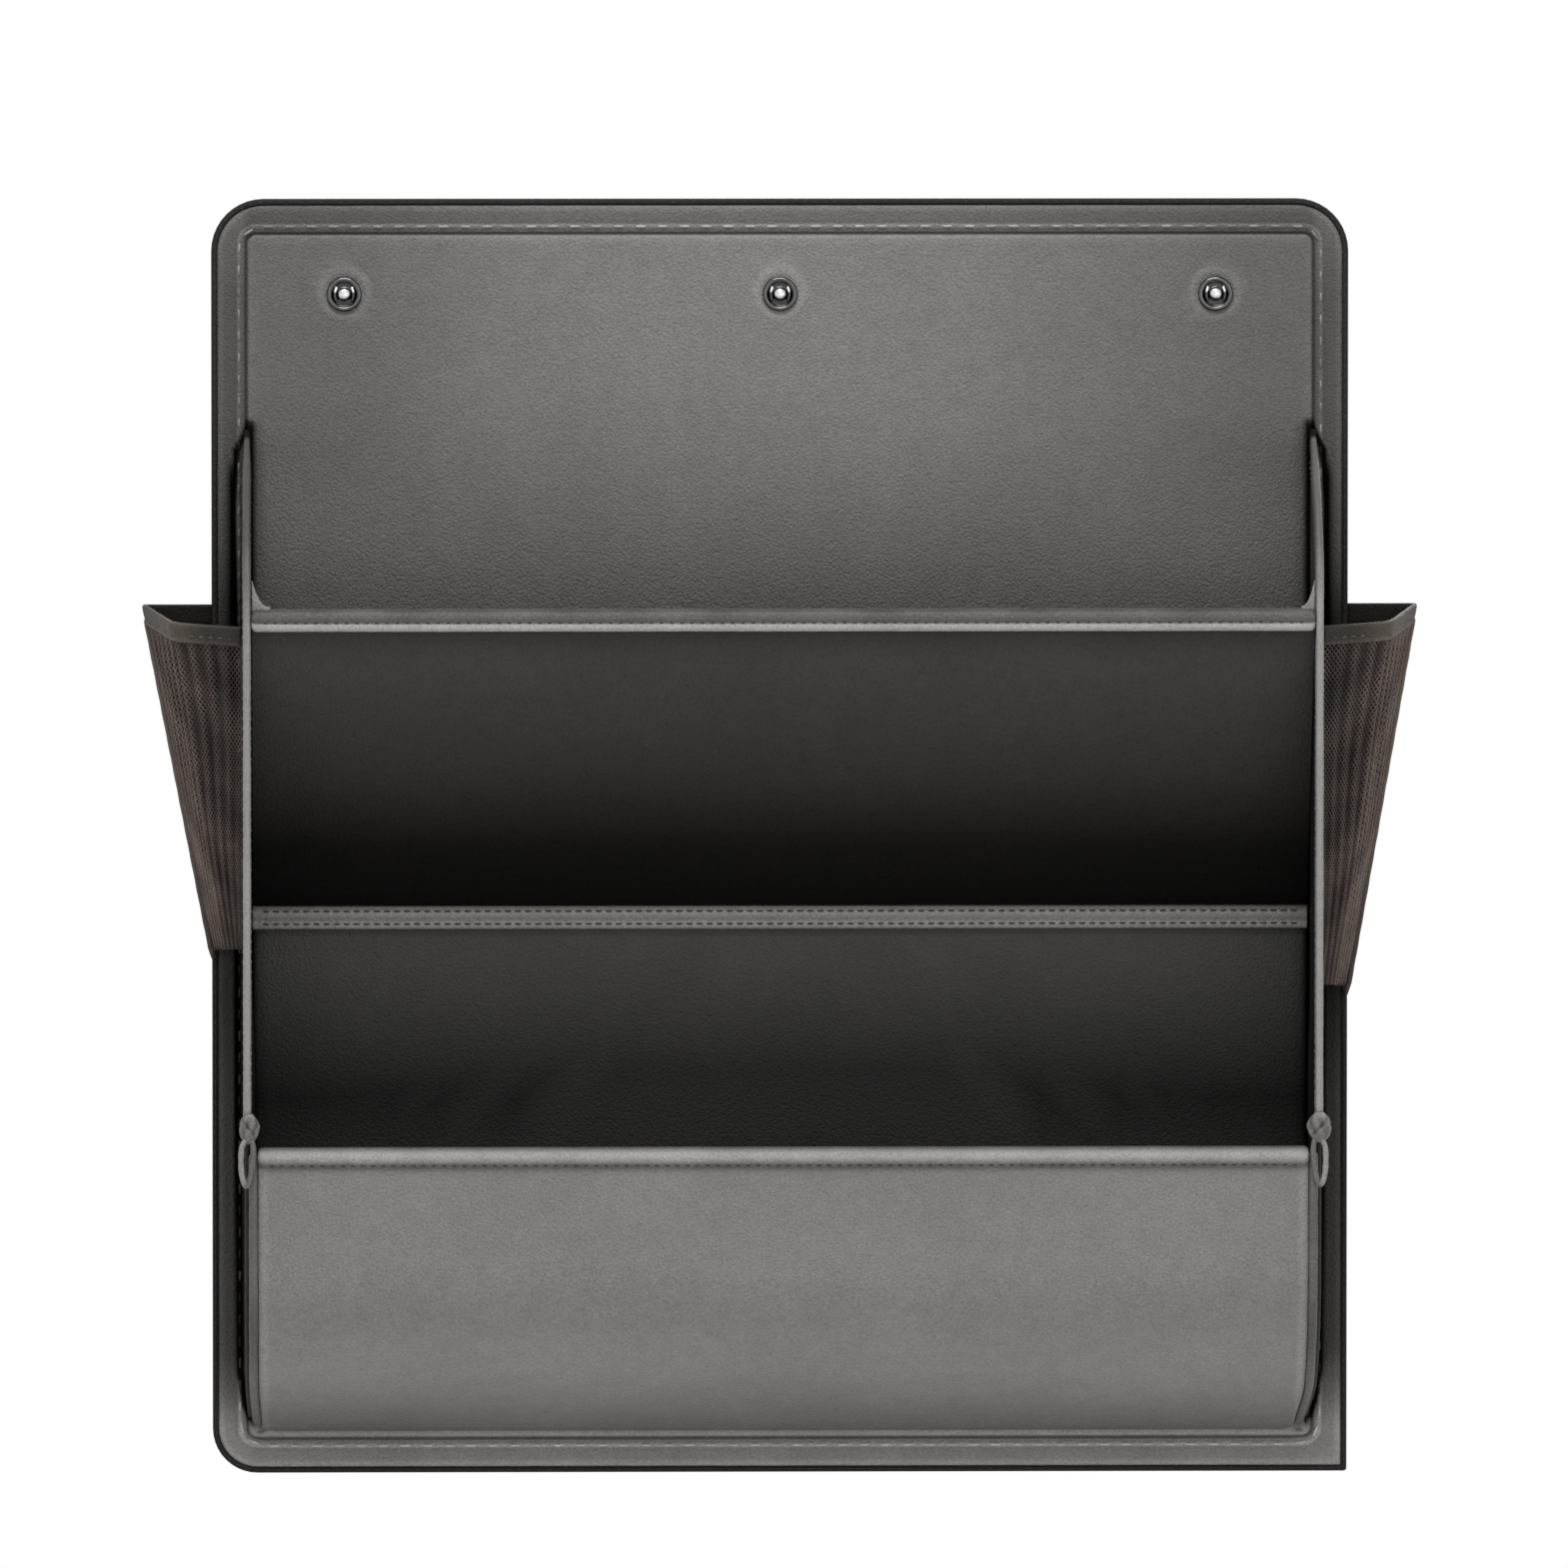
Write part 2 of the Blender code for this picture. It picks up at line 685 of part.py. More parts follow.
def split_path(corners, counts):
    # The path through the corners, with each stretch cut into its own count of equal columns.
    points = [corners[0]]
    for near, far, count in zip(corners, corners[1:], counts):
        points += [near.lerp(far, (i + 1) / count) for i in range(count)]
    return points


def net_point(mouth, toe, column, fall):
    # Paths hold (x, depth), the column counts along them and the fall is 0 at the mouth, 1 at the toe.
    index = min(int(column), len(mouth) - 2)
    share = column - index
    upper = mouth[index].lerp(mouth[index + 1], share)
    lower = toe[index].lerp(toe[index + 1], share)
    place = upper.lerp(lower, fall)
    start_z = net_mouth_z - net_front_dip * upper.y / net_wall_depth
    return Vector((place.x, -place.y, start_z + (net_toe_z - start_z) * fall))


def net_mesh(name, mouth, toe, sign):
    columns = len(mouth) - 1
    shape = bmesh.new()
    bmesh.ops.create_grid(shape, x_segments=columns, y_segments=net_rows, size=1)
    inner_edges = [edge for edge in shape.edges if len(edge.link_faces) == 2]
    bmesh.ops.poke(shape, faces=shape.faces[:])
    bmesh.ops.dissolve_edges(shape, edges=inner_edges, use_verts=False)
    tuck_share = (net_band_height - net_tuck) / net_height
    for vert in shape.verts:
        column = (vert.co.x + 1) / 2 * columns
        fall = tuck_share + (1 - tuck_share) * (1 - vert.co.y) / 2
        place = net_point(mouth, toe, column, fall)
        vert.co = Vector((sign * place.x, place.y, place.z))
    mesh = bpy.data.meshes.new(name)
    shape.to_mesh(mesh)
    shape.free()
    return mesh


def strip_mesh(name, mouth, toe, top_fall, low_fall, sign):
    # A ribbon of the net's own surface between two falls.
    shape = bmesh.new()
    rows = []
    for fall in (top_fall, low_fall):
        row = [net_point(mouth, toe, column, fall) for column in range(len(mouth))]
        rows.append([shape.verts.new((sign * place.x, place.y, place.z)) for place in row])
    for i in range(len(mouth) - 1):
        shape.faces.new((rows[0][i], rows[0][i + 1], rows[1][i + 1], rows[1][i]))
    mesh = bpy.data.meshes.new(name)
    shape.to_mesh(mesh)
    shape.free()
    return mesh


def thicken(part, thickness):
    step = part.modifiers.new("thickness", "SOLIDIFY")
    step.thickness = thickness
    step.offset = 0
    step.use_even_offset = True


def make_net_pockets():
    edge_x = panel_width / 2 + fit_gap
    half_strand = net_strand / 2
    seam = Vector((edge_x + net_reach, net_rear_depth))
    fold = Vector((edge_x + net_fold_reach, net_fold_depth))
    slant = Vector((gusset_outer_x, net_wall_depth)) - fold
    wall_x = gusset_outer_x + fit_gap + slant.normalized().y * net_band_thickness / 2
    seam_toe = Vector((edge_x + net_toe_reach, net_toe_depth))
    clear = net_piping_radius + half_strand + fit_gap
    toe_depth = net_toe_depth + clear
    front_mouth = split_path(
        [Vector((wall_x + half_strand, net_wall_depth)), fold, seam + (fold - seam).normalized() * clear],
        [net_wall_columns, net_side_columns],
    )
    front_toe = split_path(
        [Vector((wall_x + half_strand, toe_depth)), Vector((seam_toe.x, toe_depth))],
        [net_wall_columns + net_side_columns],
    )
    rear_mouth = split_path(
        [Vector((edge_x + half_strand, net_rear_depth)), seam - Vector((clear, 0))], [net_rear_columns]
    )
    rear_toe = split_path(
        [Vector((edge_x + half_strand, net_rear_depth)), seam_toe - Vector((clear, 0))], [net_rear_columns]
    )
    band_columns = [net_wall_columns, net_side_columns, net_rear_columns]
    seam_column = net_wall_columns + net_side_columns
    fold_toe = front_toe[0].lerp(front_toe[-1], net_wall_columns / seam_column)
    back = Vector((edge_x, net_rear_depth))
    band_mouth = split_path([Vector((wall_x, net_wall_depth)), fold, seam, back], band_columns)
    band_toe = split_path([Vector((wall_x, toe_depth)), fold_toe, seam_toe, back], band_columns)
    past_wall = Vector((overrun, overrun * slant.y / slant.x))
    past_back = Vector((overrun, 0))
    slot_mouth = [band_mouth[0] - past_wall] + band_mouth[1:-1] + [band_mouth[-1] - past_back]
    slot_toe = [band_toe[0] - past_back] + band_toe[1:-1] + [band_toe[-1] - past_back]
    band_fall = net_band_height / net_height
    slot_fall = (net_band_height - net_slot_depth) / net_height
    for side, sign in (("left", -1), ("right", 1)):
        for place, mouth, toe in (("front", front_mouth, front_toe), ("rear", rear_mouth, rear_toe)):
            name = side + "_net_" + place
            net = add_part(name, net_mesh(name, mouth, toe, sign), "net_cord")
            step = net.modifiers.new("strands", "WIREFRAME")
            step.thickness = net_strand
            step.use_boundary = True
            step.use_even_offset = True
        name = side + "_net_band"
        band = add_part(name, strip_mesh(name, band_mouth, band_toe, 0, band_fall, sign), "dark_leather")
        thicken(band, net_band_thickness)
        slot_name = name + "_slot"
        slot_mesh = strip_mesh(slot_name, slot_mouth, slot_toe, slot_fall, 2 * band_fall, sign)
        slot = add_cutter(slot_name, slot_mesh)
        thicken(slot, net_strand + 2 * net_slot_gap)
        boolean(band, slot, "DIFFERENCE")

        name = side + "_net_piping"
        start = net_point(band_mouth, band_toe, seam_column, band_fall) - Vector((0, 0, net_piping_radius))
        end = net_point(band_mouth, band_toe, seam_column, 1)
        tail = Vector((edge_x + net_piping_radius, -net_toe_depth, net_toe_z - net_piping_tail))
        knee = (end + tail) / 2 + Vector((net_piping_radius, 0, 0))
        route = [(sign * place.x, place.y, place.z) for place in (start, end, knee, tail)]
        shade_round(add_part(name, tube_mesh(name, route, net_piping_radius, 1), "dark_leather"))


clear_scene()
parts = new_collection("hanging_pocket_organizer")
cutters = new_collection("cutters")
make_back_panel()
make_edge_binding()
make_studs()
make_gussets()
make_upper_front()
make_lower_front()
make_seam_pipings()
make_corner_knots()
make_net_pockets()
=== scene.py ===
import math
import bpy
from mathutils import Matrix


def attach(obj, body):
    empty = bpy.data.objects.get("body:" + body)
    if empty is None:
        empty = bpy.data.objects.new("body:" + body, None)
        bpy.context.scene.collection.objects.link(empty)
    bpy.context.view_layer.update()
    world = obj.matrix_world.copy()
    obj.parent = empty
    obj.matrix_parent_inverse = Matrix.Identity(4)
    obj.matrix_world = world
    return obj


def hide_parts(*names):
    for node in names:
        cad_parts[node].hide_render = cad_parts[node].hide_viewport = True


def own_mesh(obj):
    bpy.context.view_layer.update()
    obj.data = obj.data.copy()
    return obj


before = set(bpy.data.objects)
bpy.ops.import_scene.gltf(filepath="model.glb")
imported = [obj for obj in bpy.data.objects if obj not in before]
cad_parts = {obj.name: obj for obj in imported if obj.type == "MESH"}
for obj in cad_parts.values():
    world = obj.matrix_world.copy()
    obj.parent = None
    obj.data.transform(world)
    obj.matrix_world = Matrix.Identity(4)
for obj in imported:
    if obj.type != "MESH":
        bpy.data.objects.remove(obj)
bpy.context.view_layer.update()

from types import SimpleNamespace

import bmesh
import bpy
import numpy as np
from mathutils import Vector

# Lengths are metres. Depth counts forward from the wall, so a depth d lies at y = -d.
panel = {
    "width": 0.520, "height": 0.584, "wallRear": 0.0061, "borderRadius": 0.0205,
    "cornerRadii": (0.024, 0.024, 0.0205, 0.0015),   # top right, top left, bottom left, bottom right
    "ringStep": 0.0023, "cornerSteps": 10,
}
side = {"x": 0.244, "thickness": 0.0024, "tipZ": 0.189, "bendReach": 0.078, "bendDrop": 0.037, "curveDrop": 0.066}
pocket = {
    "depth": 0.085, "seamZ": -0.273, "baseTopZ": -0.190, "lowerLipZ": -0.141, "upperLipZ": 0.1047,
    "hingeDepth": 0.0084, "hingeZ": -0.0288, "frontHalf": 0.0023, "upperHalfWidth": 0.2416, "lowerHalfWidth": 0.2389,
    "bellyPower": 2.3, "lipHeight": 0.0092,
}
stitch = {
    "pitch": 0.0046, "length": 0.0034, "radius": 0.00034, "sides": 5,
    "endGap": 0.004, "seamRows": (-0.0340, -0.0398), "footRow": -0.2660,
}
frontSheet = {"thickness": 0.0013, "half": 0.00065}   # the fronts' leather and lining
sides = (("left", -1), ("right", 1))


def linkObject(name, data):
    obj = bpy.data.objects.new(name, data)
    bpy.context.scene.collection.objects.link(obj)
    return obj


def makeObject(name, points, faces):
    mesh = bpy.data.meshes.new(name)
    mesh.from_pydata([tuple(p) for p in points], [], faces)
    shape = bmesh.new()
    shape.from_mesh(mesh)
    bmesh.ops.recalc_face_normals(shape, faces=shape.faces[:])
    shape.to_mesh(mesh)
    shape.free()
    mesh.shade_smooth()
    return linkObject(name, mesh)


def ringFaces(rows, size, closed=False):
    # Quads from each ring of points to the next, and a cap on each end of an open run.
    faces = []
    for i in range(rows if closed else rows - 1):
        here, after = i * size, (i + 1) % rows * size
        for k in range(size):
            m = (k + 1) % size
            faces.append((here + k, here + m, after + m, after + k))
    if not closed:
        faces += [tuple(range(size)), tuple((rows - 1) * size + k for k in reversed(range(size)))]
    return faces


def tableAt(values, table):
    return np.interp(values, *np.array(table).T)


def setTone(obj, values):
    # How much darker (above 0) or paler (below 0) than its material each point is.
    tone = obj.data.attributes.new("tone", "FLOAT", "POINT")
    tone.data.foreach_set("value", np.asarray(values, np.float32))


def readPoints(obj):
    co = np.empty(len(obj.data.vertices) * 3, np.float32)
    obj.data.vertices.foreach_get("co", co)
    return co.reshape(-1, 3)


def heights(obj):
    return readPoints(obj)[:, 2]


def applyModifiers(obj):
    graph = bpy.context.evaluated_depsgraph_get()
    mesh = bpy.data.meshes.new_from_object(obj.evaluated_get(graph))
    obj.modifiers.clear()
    obj.data = mesh


def finishPiece(obj, material, body="root", nodes=(), folds=False):
    obj.data.materials.clear()
    obj.data.materials.append(material)
    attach(obj, body)
    if nodes:
        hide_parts(*nodes)
    if folds:
        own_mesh(obj)


def smoothStep(t):
    t = np.clip(t, 0, 1)
    return t * t * (3 - 2 * t)


def bump(values, middle, reach):
    # A smooth hump, 1 at its middle and 0 past its reach.
    return 1 - smoothStep(np.abs(values - middle) / reach)


def roundEnd(share):
    # The height of a quarter circle, from 0 at its end to 1.
    return math.sqrt(max(0, 1 - (1 - min(1, share)) ** 2))


def edgeLines(length, rounding, step):
    near = [0, 0.13 * rounding, 0.5 * rounding, rounding]
    count = max(1, round((length - 2 * rounding) / step))
    middle = [rounding + (length - 2 * rounding) * i / count for i in range(1, count)]
    return np.array(near + middle + [length - value for value in reversed(near)])


def gridNormals(centre):
    normal = np.cross(np.gradient(centre, axis=1), np.gradient(centre, axis=0))
    return normal / np.maximum(np.linalg.norm(normal, axis=2, keepdims=True), 1e-12)


def edgeFall(centre, half):
    # Half-round edges: the thickness grows from nothing over half the sheet's thickness.
    shares = []
    for axis in (0, 1):
        step = np.linalg.norm(np.diff(centre, axis=axis), axis=2)
        run = np.concatenate([np.zeros_like(np.take(step, [0], axis)), np.cumsum(step, axis)], axis)
        away = np.minimum(run, np.take(run, [-1], axis) - run)
        shares.append(np.sqrt(1 - (1 - np.clip(away / half, 0, 1)) ** 2))
    return np.minimum(*shares)


def sheetPiece(name, us, vs, place, thickness, facing, lift=None):
    # A closed sheet round a middle surface place(u, v), facing the given way, with lift added in front.
    u, v = np.meshgrid(us, vs)
    x, depth, z = place(u, v)
    centre = np.stack([x + 0 * u, -(depth + 0 * u), z + 0 * u], axis=2)
    normal = gridNormals(centre)
    if (normal @ np.array(facing, float)).sum() < 0:
        normal = -normal
    fall = edgeFall(centre, thickness / 2)
    rear = fall * thickness / 2
    front = rear + (lift(u, v) * fall if lift else 0)
    near, far = centre + normal * front[..., None], centre - normal * rear[..., None]
    rows, columns = u.shape
    index = np.arange(rows * columns).reshape(rows, columns)
    inside = np.zeros((rows, columns), bool)
    inside[1:-1, 1:-1] = True
    back = index.copy()
    back[inside] = rows * columns + np.arange(inside.sum())
    faces = []
    for i in range(rows - 1):
        for j in range(columns - 1):
            faces.append((index[i, j], index[i, j + 1], index[i + 1, j + 1], index[i + 1, j]))
            faces.append((back[i, j], back[i + 1, j], back[i + 1, j + 1], back[i, j + 1]))
    points = np.concatenate([near.reshape(-1, 3), far[inside]])
    return makeObject(name, points, [tuple(int(n) for n in face) for face in faces])


def sweepPiece(name, path, sideWay, section):
    # Sweeps section(i) along a flat path. A section point is (along sideWay, along the normal).
    path, sideWay = np.array(path, float), np.array(sideWay, float)
    run = np.gradient(path, axis=0)
    run /= np.linalg.norm(run, axis=1, keepdims=True)
    points = []
    for i, spot in enumerate(path):
        normal = np.cross(run[i], sideWay)
        points += [spot + sideWay * a + normal * b for a, b in section(i)]
    return makeObject(name, points, ringFaces(len(path), len(points) // len(path)))


def roundSection(radius, sides=12):
    turns = [2 * math.pi * k / sides for k in range(sides)]
    return [(radius * math.cos(t), radius * math.sin(t)) for t in turns]


def alongRun(points):
    return np.concatenate([[0], np.cumsum(np.linalg.norm(np.diff(points, axis=0), axis=1))])


def smoothPath(points, step):
    # Resamples a path of straight stretches at an even step.
    points = np.array(points, float)
    run = alongRun(points)
    count = max(2, round(run[-1] / step))
    spots = np.linspace(0, run[-1], count + 1)
    return np.stack([np.interp(spots, run, points[:, k]) for k in range(3)], axis=1)


def stitchRow(name, paths, material, body="root", folds=False, size=1.0, toneAt=None,
              pitch=stitch["pitch"]):
    # Threads along each (path, outward way), dipping into the leather at both ends.
    rings = ((-1, 0.15), (-0.72, 0.8), (-0.25, 1), (0.25, 1), (0.72, 0.8), (1, 0.15))   # (along, girth)
    half, radius = stitch["length"] / 2 * size, stitch["radius"] * size
    template = []
    for along, girth in rings:
        rise = radius * (0.55 - 1.6 * along ** 2)
        template += [(along * half, rise + a, b) for a, b in roundSection(radius * girth, stitch["sides"])]
    template = np.array(template)
    faces = ringFaces(len(rings), stitch["sides"])
    points, allFaces, tones = [], [], []
    for path, out in paths:
        line = smoothPath(path, pitch)
        ways = np.diff(line, axis=0)
        ways /= np.linalg.norm(ways, axis=1, keepdims=True)
        for middle, way in zip((line[1:] + line[:-1]) / 2, ways):
            start = len(points) * len(template)
            points.append(middle + template @ np.array([way, out, np.cross(way, out)]))
            uneven = 0.2 * math.sin(2.1 * len(points)) * math.sin(0.77 * len(points) + 1)
            tones.append(np.full(len(template), (toneAt(middle) if toneAt else 0.0) + uneven))
            allFaces += [tuple(start + k for k in face) for face in faces]
    obj = makeObject(name, np.concatenate(points), allFaces)
    setTone(obj, np.concatenate(tones))
    finishPiece(obj, material, body, folds=folds)


def addNode(paint, kind, inputs, **settings):
    # A new node with its settings made and its inputs linked or filled in.
    node = paint.nodes.new("ShaderNode" + kind)
    for key, value in settings.items():
        setattr(node, key, value)
    for key, value in inputs.items():
        if isinstance(value, bpy.types.NodeSocket):
            paint.link(value, node.inputs[key])
        else:
            node.inputs[key].default_value = value
    return node.outputs


def newMaterial(name, color, roughness, specular, metallic=0.0):
    material = bpy.data.materials.new(name)
    material.use_nodes = True
    nodes = material.node_tree.nodes
    shader = nodes["Principled BSDF"].inputs
    values = {"Base Color": (*color, 1), "Roughness": roughness, "Metallic": metallic, "Specular IOR Level": specular}
    for key, value in values.items():
        shader[key].default_value = value
    paint = SimpleNamespace(material=material, nodes=nodes, link=material.node_tree.links.new, shader=shader)
    paint.place = addNode(paint, "TexCoord", {})["Object"]
    return paint


def addNoise(paint, scale, detail=2.0, stretch=None):
    place = paint.place
    if stretch:
        place = addNode(paint, "Mapping", {"Vector": place, "Scale": stretch})["Vector"]
    return addNode(paint, "TexNoise", {"Vector": place, "Scale": scale, "Detail": detail})["Fac"]


def addWave(paint, place, direction, scale, distortion, detailScale):
    inputs = {"Vector": place, "Scale": scale, "Distortion": distortion, "Detail Scale": detailScale}
    return addNode(paint, "TexWave", inputs, bands_direction=direction)["Fac"]


def doMath(paint, operation, first, *others):
    for value in others:
        first = addNode(paint, "Math", {0: first, 1: value}, operation=operation)[0]
    return first


def spread(paint, value, low, high, start=0.3, stop=0.7):
    inputs = {"Value": value, "From Min": start, "From Max": stop, "To Min": low, "To Max": high}
    return addNode(paint, "MapRange", inputs)[0]


def paintedTone(paint, factor):
    tone = addNode(paint, "Attribute", {}, attribute_name="tone")["Fac"]
    return doMath(paint, "MULTIPLY", factor, doMath(paint, "SUBTRACT", 1.0, tone))


def finishMaterial(paint, color, factor, roughness, height, relief):
    # The colour is scaled by the factor, and the height becomes a bump of the given relief.
    scaled = addNode(paint, "VectorMath", {0: color, "Scale": factor}, operation="SCALE")[0]
    bumps = addNode(paint, "Bump", {"Distance": relief, "Strength": 1.0, "Height": height})["Normal"]
    for key, value in (("Base Color", scaled), ("Roughness", roughness), ("Normal", bumps)):
        paint.link(value, paint.shader[key])
    return paint.material


def leatherMaterial(name, color, roughness=0.5, specular=0.35, grain=0.0012, relief=0.00022):
    # Pebbled grain, fine speckle, broad colour drift, and the tone painted on the mesh.
    paint = newMaterial(name, color, roughness, specular)
    twist = addNode(paint, "TexNoise", {"Vector": paint.place, "Scale": 0.35 / grain})["Color"]
    wander = addNode(paint, "VectorMath", {0: twist, 1: (grain,) * 3, 2: paint.place}, operation="MULTIPLY_ADD")[0]
    cells = {"Vector": wander, "Scale": 1 / grain, "Smoothness": 0.4}
    pebble = addNode(paint, "TexVoronoi", cells, feature="SMOOTH_F1")["Distance"]
    speckle, drift, patches = addNoise(paint, 1.1 / grain, 3), addNoise(paint, 14, 3), addNoise(paint, 120, 4)
    factor = doMath(paint, "MULTIPLY", spread(paint, speckle, 0.86, 1.14), spread(paint, drift, 0.94, 1.06),
                    spread(paint, patches, 0.95, 1.05), spread(paint, pebble, 1.05, 0.88, 0.2, 0.75))
    # deep shade loses its sheen too
    sheen = spread(paint, paintedTone(paint, 1.0), 0.0, specular, 0.0, 0.4)
    paint.link(sheen, paint.shader["Specular IOR Level"])
    height = doMath(paint, "ADD", spread(paint, pebble, 1.0, 0.0, 0.1, 0.8), doMath(paint, "MULTIPLY", speckle, 0.5))
    rough = spread(paint, speckle, roughness - 0.07, roughness + 0.09)
    return finishMaterial(paint, color, paintedTone(paint, factor), rough, height, relief)


def clothMaterial(name, color, pitch=0.0009, roughness=0.85):
    # Two sets of threads over and under each other, with uneven yarn.
    paint = newMaterial(name, color, roughness, 0.2)
    across, upright = (addWave(paint, paint.place, way, 0.314 / pitch, 0.6, 2.0) for way in ("X", "Z"))
    weave = doMath(paint, "MAXIMUM", across, doMath(paint, "MULTIPLY", upright, 0.85))
    yarn = addNoise(paint, 420, 3)
    factor = doMath(paint, "MULTIPLY", spread(paint, weave, 0.7, 1.2, 0, 1), spread(paint, yarn, 0.85, 1.15))
    rough = spread(paint, yarn, roughness - 0.08, roughness + 0.06)
    height = doMath(paint, "ADD", weave, doMath(paint, "MULTIPLY", yarn, 0.4))
    return finishMaterial(paint, color, factor, rough, height, 0.00016)


def threadMaterial(name, color, roughness=0.7):
    # Twisted yarn: fine slanting fibres.
    paint = newMaterial(name, color, roughness, 0.25)
    fibre, tint = addNoise(paint, 2600, 2, (1, 1, 0.5)), addNoise(paint, 160)
    factor = doMath(paint, "MULTIPLY", spread(paint, fibre, 0.75, 1.2), spread(paint, tint, 0.85, 1.15))
    rough = spread(paint, fibre, roughness - 0.1, roughness + 0.1)
    return finishMaterial(paint, color, paintedTone(paint, factor), rough, fibre, 0.00012)


def meshMaterial(name, cord, gap, pitch=0.0019):
    # A close net: slanting cords crossing over darker gaps.
    paint = newMaterial(name, cord, 0.75, 0.2)
    bands = []
    for mirror in (1, -1):
        turned = addNode(paint, "Mapping", {"Vector": paint.place, "Scale": (mirror, 1, 1)})["Vector"]
        bands.append(addWave(paint, turned, "DIAGONAL", 0.444 / pitch, 0.8, 1.5))
    onCord = spread(paint, doMath(paint, "MAXIMUM", *bands), 0.0, 1.0, 0.45, 0.8)
    yarn = addNoise(paint, 600, 3)
    mixed = addNode(paint, "Mix", {"A": (*gap, 1), "B": (*cord, 1), "Factor": onCord}, data_type="RGBA")["Result"]
    height = doMath(paint, "ADD", onCord, doMath(paint, "MULTIPLY", yarn, 0.3))
    return finishMaterial(paint, mixed, spread(paint, yarn, 0.8, 1.2), spread(paint, yarn, 0.68, 0.84), height, 0.0003)


def boardMaterial(name, color):
    # Pressed grey board with short fibres.
    paint = newMaterial(name, color, 0.9, 0.2)
    fibres = addNoise(paint, 700, 4, (1, 1, 0.25))
    rough = spread(paint, fibres, 0.82, 0.95)
    return finishMaterial(paint, color, spread(paint, fibres, 0.8, 1.15), rough, fibres, 0.0001)


def metalMaterial(name, color, roughness):
    # Plated metal, faintly brushed by use.
    paint = newMaterial(name, color, roughness, 0.5, 1.0)
    rub = addNoise(paint, 900, 3, (1, 1, 0.3))
    rough = spread(paint, rub, roughness * 0.7, roughness * 1.5)
    return finishMaterial(paint, color, paintedTone(paint, spread(paint, rub, 0.92, 1.05)), rough, rub, 0.00002)


looks = {
    "panelLeather": (leatherMaterial, (0.205, 0.198, 0.190)),
    "frontLeather": (leatherMaterial, (0.232, 0.225, 0.218)),
    # shadeLeather is the grey leather darkened as painted shade, for the upper front that leans back from the light
    "shadeLeather": (leatherMaterial, (0.090, 0.084, 0.079), 0.6, 0.15),
    "wallLeather": (leatherMaterial, (0.050, 0.047, 0.045), 0.62, 0.15),
    "paleBinding": (leatherMaterial, (0.350, 0.338, 0.325), 0.48, 0.35, 0.0009, 0.00012),
    "netHem": (leatherMaterial, (0.078, 0.065, 0.054), 0.58, 0.2),
    "edgeTape": (clothMaterial, (0.0165, 0.0155, 0.0148), 0.0012, 0.7),
    "liningCloth": (clothMaterial, (0.024, 0.023, 0.023)),
    "greyBoard": (boardMaterial, (0.300, 0.280, 0.240)),
    "netCord": (threadMaterial, (0.135, 0.104, 0.092), 0.65),
    "closeNet": (meshMaterial, (0.045, 0.036, 0.033), (0.016, 0.013, 0.012)),
    "thread": (threadMaterial, (0.350, 0.336, 0.320)),
    "darkThread": (threadMaterial, (0.040, 0.038, 0.036)),
    "chrome": (metalMaterial, (0.66, 0.66, 0.67), 0.17),
    "washerSteel": (metalMaterial, (0.27, 0.27, 0.28), 0.40),
}
looks = {name: make(name, *values) for name, (make, *values) in looks.items()}
print("materials ready")


def cornerRing(inset, radii, step):
    # Points counter-clockwise from the right side of the top right corner, the same number for any inset.
    width, height = panel["width"] - 2 * inset, panel["height"] - 2 * inset
    arcs, spots = [], []
    for index, (sx, sz) in enumerate([(1, 1), (-1, 1), (-1, -1), (1, -1)]):
        radius = max(radii[index], 0.0003)
        turns = (index + np.arange(panel["cornerSteps"] + 1) / panel["cornerSteps"]) * math.pi / 2
        x, z = sx * (width / 2 - radius) + radius * np.cos(turns), sz * (height / 2 - radius) + radius * np.sin(turns)
        arcs.append(np.stack([x, z], 1))
    for index, arc in enumerate(arcs):
        count = round((panel["height"] if index % 2 else panel["width"]) / step)
        share = np.arange(1, count)[:, None] / count
        spots += [arc, arc[-1] + (arcs[(index + 1) % 4][0] - arc[-1]) * share]
    return np.concatenate(spots)


def panelRing(inset, step=panel["ringStep"]):
    return cornerRing(inset, [radius - inset for radius in panel["cornerRadii"]], step)


def borderRing(inset):
    return cornerRing(inset, [max(panel["borderRadius"] - inset, 0.0012)] * 4, panel["ringStep"])


def ringPiece(name, rings, closed=False):
    # Rings are (outline, depths), joined one to the next.
    points = np.concatenate([np.stack([ring[:, 0], -(depth + 0 * ring[:, 0]), ring[:, 1]], 1) for ring, depth in rings])
    return makeObject(name, points, ringFaces(len(rings), len(rings[0][0]), closed))


def closedLine(ring, y):
    line = np.stack([ring[:, 0], 0 * ring[:, 0] + y, ring[:, 1]], 1)
    return np.concatenate([line, line[:1]])


def cutHoles(obj, spots, radius):
    for x, z in spots:
        shape = bmesh.new()
        cut = bmesh.ops.create_cone(shape, cap_ends=True, segments=studs["holeSteps"], radius1=radius,
                                    radius2=radius, depth=0.03)
        for vert in cut["verts"]:
            vert.co = Vector((vert.co.x + x, vert.co.z, vert.co.y + z))
        bmesh.ops.recalc_face_normals(shape, faces=shape.faces[:])
        mesh = bpy.data.meshes.new("holeCutter")
        shape.to_mesh(mesh)
        shape.free()
        cutter = linkObject("holeCutter", mesh)
        step = obj.modifiers.new("holes", "BOOLEAN")
        step.object = cutter
        step.operation = "DIFFERENCE"
        step.solver = "FAST"  # the exact one leaves the cut faces in place
        applyModifiers(obj)
        bpy.data.objects.remove(cutter)


